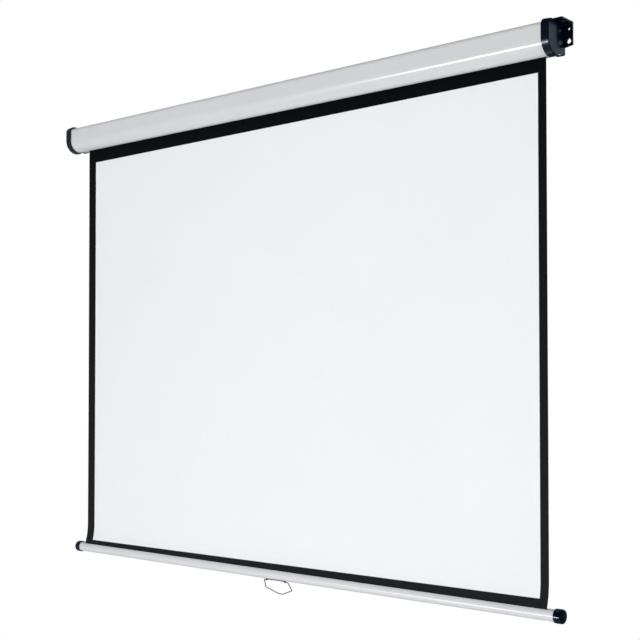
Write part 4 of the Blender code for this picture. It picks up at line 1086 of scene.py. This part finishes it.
# Room. A pale floor well below the screen, white air around it that is a little dimmer overhead,
# a large softbox low in front and one behind, a wash on the floor for the undersides, and far to
# the left a long low strip, which is only mirrored: it draws the bright line on case, bar and caps.
FLOOR_Z = -2.3
FLOOR_RADIUS = 4.0
FLOOR_FADE = (1.4, 3.6)
FLOOR_PALE = "#F1F1F1"
FLOOR_PALE_SHADE = "#EFEFEF"
WHITE = (1.0, 1.0, 1.0, 1.0)
COOL_WHITE = (0.64, 0.82, 1.0, 1.0)
UP = (0.0, 0.0, 1.0)
LEFT = (-1.0, 0.0, 0.0)
BEHIND_LEFT = (-0.65, 0.76, 0.0)
BELOW_FRONT = (0.0, -0.5, -0.87)
CAMERA_AT = (1.94448, -2.12624, -0.72274)
CAMERA_YAW = 40.639
CAMERA_PITCH = 1.3982
CAMERA_ROLL = -0.031
FOCAL_LENGTH = 65.173
FRAME_SHIFT = 0.05176


def pale_floor():
    """Painted studio floor: matt near-white that fades into the white air away from the screen."""
    made, tree, shader, place = new_finish("painted_floor", {"Roughness": 0.8})
    grain = add_node(tree, "TexNoise", "Fac", {"Vector": place, "Scale": 1 / (25 * MM), "Detail": 3.0})
    tint(tree, shader, grain, FLOOR_PALE, FLOOR_PALE_SHADE)
    away = add_node(tree, "VectorMath", "Value", {0: place}, operation="LENGTH")
    ends = {"Value": away, "From Min": FLOOR_FADE[0], "From Max": FLOOR_FADE[1]}
    fade = add_node(tree, "MapRange", "Result", ends, interpolation_type="SMOOTHSTEP")
    seen = add_node(tree, "LightPath", "Is Camera Ray", {})
    share = add_node(tree, "Math", "Value", {0: fade, 1: seen}, operation="MULTIPLY")
    air = add_node(tree, "Emission", "Emission", {"Color": WHITE})
    both = add_node(tree, "MixShader", "Shader", {0: share, 1: shader.outputs["BSDF"], 2: air})
    tree.links.new(both, tree.nodes["Material Output"].inputs["Surface"])
    return made


form = bmesh.new()
bmesh.ops.create_circle(form, cap_ends=True, segments=96, radius=FLOOR_RADIUS)
ground = add_piece("floor", form, pale_floor())
ground.location = (0.0, 0.0, FLOOR_Z)
ground.visible_glossy = False
ground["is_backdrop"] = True

world = bpy.data.worlds.new("studio_air")
world.use_nodes = True
bpy.context.scene.world = world
air_tree = world.node_tree
towards = add_node(air_tree, "TexCoord", "Generated", {})


def air_strength(direction, edges, strengths):
    """Strength of the air along a direction, eased from one value to another."""
    facing = add_node(air_tree, "VectorMath", "Value", {0: towards, 1: direction}, operation="DOT_PRODUCT")
    eased = {"Value": facing, "From Min": edges[0], "From Max": edges[1]}
    eased.update({"To Min": strengths[0], "To Max": strengths[1]})
    return add_node(air_tree, "MapRange", "Result", eased, interpolation_type="SMOOTHSTEP")


# What the glossy surfaces mirror is a band of bright air behind, and dimmer air at the left and
# below. Other surfaces are lit by air that dims overhead, and the camera sees plain white.
mirrored = air_strength(BEHIND_LEFT, (0.0, 0.6), (0.02, 1.2))
for operation, direction, edges, strengths in (
    ("MULTIPLY", UP, (-0.15, 0.22), (0.12, 1.0)),
    ("MULTIPLY", UP, (0.36, 0.62), (1.0, 0.05)),
    ("MAXIMUM", LEFT, (0.55, 0.85), (0.0, 0.5)),
    ("MAXIMUM", BELOW_FRONT, (0.6, 0.95), (0.0, 0.42)),
):
    terms = {0: mirrored, 1: air_strength(direction, edges, strengths)}
    mirrored = add_node(air_tree, "Math", "Value", terms, operation=operation)
fill = {"Color": WHITE, "Strength": air_strength(UP, (0.0, 1.0), (0.66, 0.38))}
air = add_node(air_tree, "Background", 0, fill)
for ray, colour, strength in (("Is Glossy Ray", COOL_WHITE, mirrored), ("Is Camera Ray", WHITE, 1.0)):
    own = add_node(air_tree, "Background", 0, {"Color": colour, "Strength": strength})
    share = add_node(air_tree, "LightPath", ray, {})
    air = add_node(air_tree, "MixShader", 0, {0: share, 1: air, 2: own})
air_tree.links.new(air, air_tree.nodes["World Output"].inputs["Surface"])


def area_light(name, spot, target, size, power, lights=True):
    """A soft rectangular lamp that either lights the surfaces or is only mirrored in them."""
    light = bpy.data.lights.new(name, "AREA")
    light.shape = "RECTANGLE"
    light.size, light.size_y = size
    light.energy = power
    made = bpy.data.objects.new(name, light)
    bpy.context.scene.collection.objects.link(made)
    made.location = spot
    made.rotation_euler = (Vector(target) - Vector(spot)).to_track_quat("-Z", "Y").to_euler()
    made.visible_camera = False
    made.visible_diffuse = lights
    made.visible_glossy = not lights
    return made


area_light("softbox", (0.4, -3.6, -1.2), (0.0, 0.0, -0.6), size=(2.4, 1.9), power=60.5)
area_light("floor_wash", (0.2, -1.6, -1.7), (0.2, -1.6, FLOOR_Z), size=(3.0, 1.6), power=9.0)
area_light("back_softbox", (0.0, 3.2, 0.5), (0.0, 0.0, -0.7), size=(2.4, 1.8), power=45.0)

# The strip fades in along its far end, so the line on the case begins softly. It is kept off the
# left caps, whose end faces would mirror the whole of it to someone behind the screen.
strip = area_light(
    "strip_light", (-4.5, -7.2, -3.0), (-4.5, 0.0, -0.5), size=(3.6, 0.75), power=470.0, lights=False
)
strip.data.color = (0.92, 0.97, 1.0)
spared = bpy.data.collections.new("not_lit_by_the_strip")
for name in ("left_end_cap_moulded", "left_bar_cap_moulded"):
    spared.objects.link(bpy.data.objects[name])
strip.light_linking.receiver_collection = spared
for entry in spared.collection_objects:
    entry.light_linking.link_state = "EXCLUDE"
strip.data.use_nodes = True
strip_tree = strip.data.node_tree
along = add_node(strip_tree, "NewGeometry", "Parametric", {})
ends = {"Value": add_node(strip_tree, "SeparateXYZ", "X", {"Vector": along})}
ends.update({"From Min": 0.1, "From Max": 0.75})
fade = add_node(strip_tree, "MapRange", "Result", ends, interpolation_type="SMOOTHSTEP")
strip_tree.links.new(fade, strip_tree.nodes["Emission"].inputs["Strength"])

camera = bpy.data.objects.new("camera", bpy.data.cameras.new("camera"))
bpy.context.scene.collection.objects.link(camera)
camera.data.lens = FOCAL_LENGTH
camera.data.sensor_width = 36.0
camera.data.shift_y = FRAME_SHIFT
camera.location = CAMERA_AT
look = Matrix.Rotation(math.radians(CAMERA_YAW), 4, "Z")
look = look @ Matrix.Rotation(math.radians(90 + CAMERA_PITCH), 4, "X")
look = look @ Matrix.Rotation(math.radians(CAMERA_ROLL), 4, "Z")
camera.rotation_euler = look.to_euler()
bpy.context.scene.camera = camera
bpy.context.scene.view_settings.view_transform = "Standard"

low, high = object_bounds()
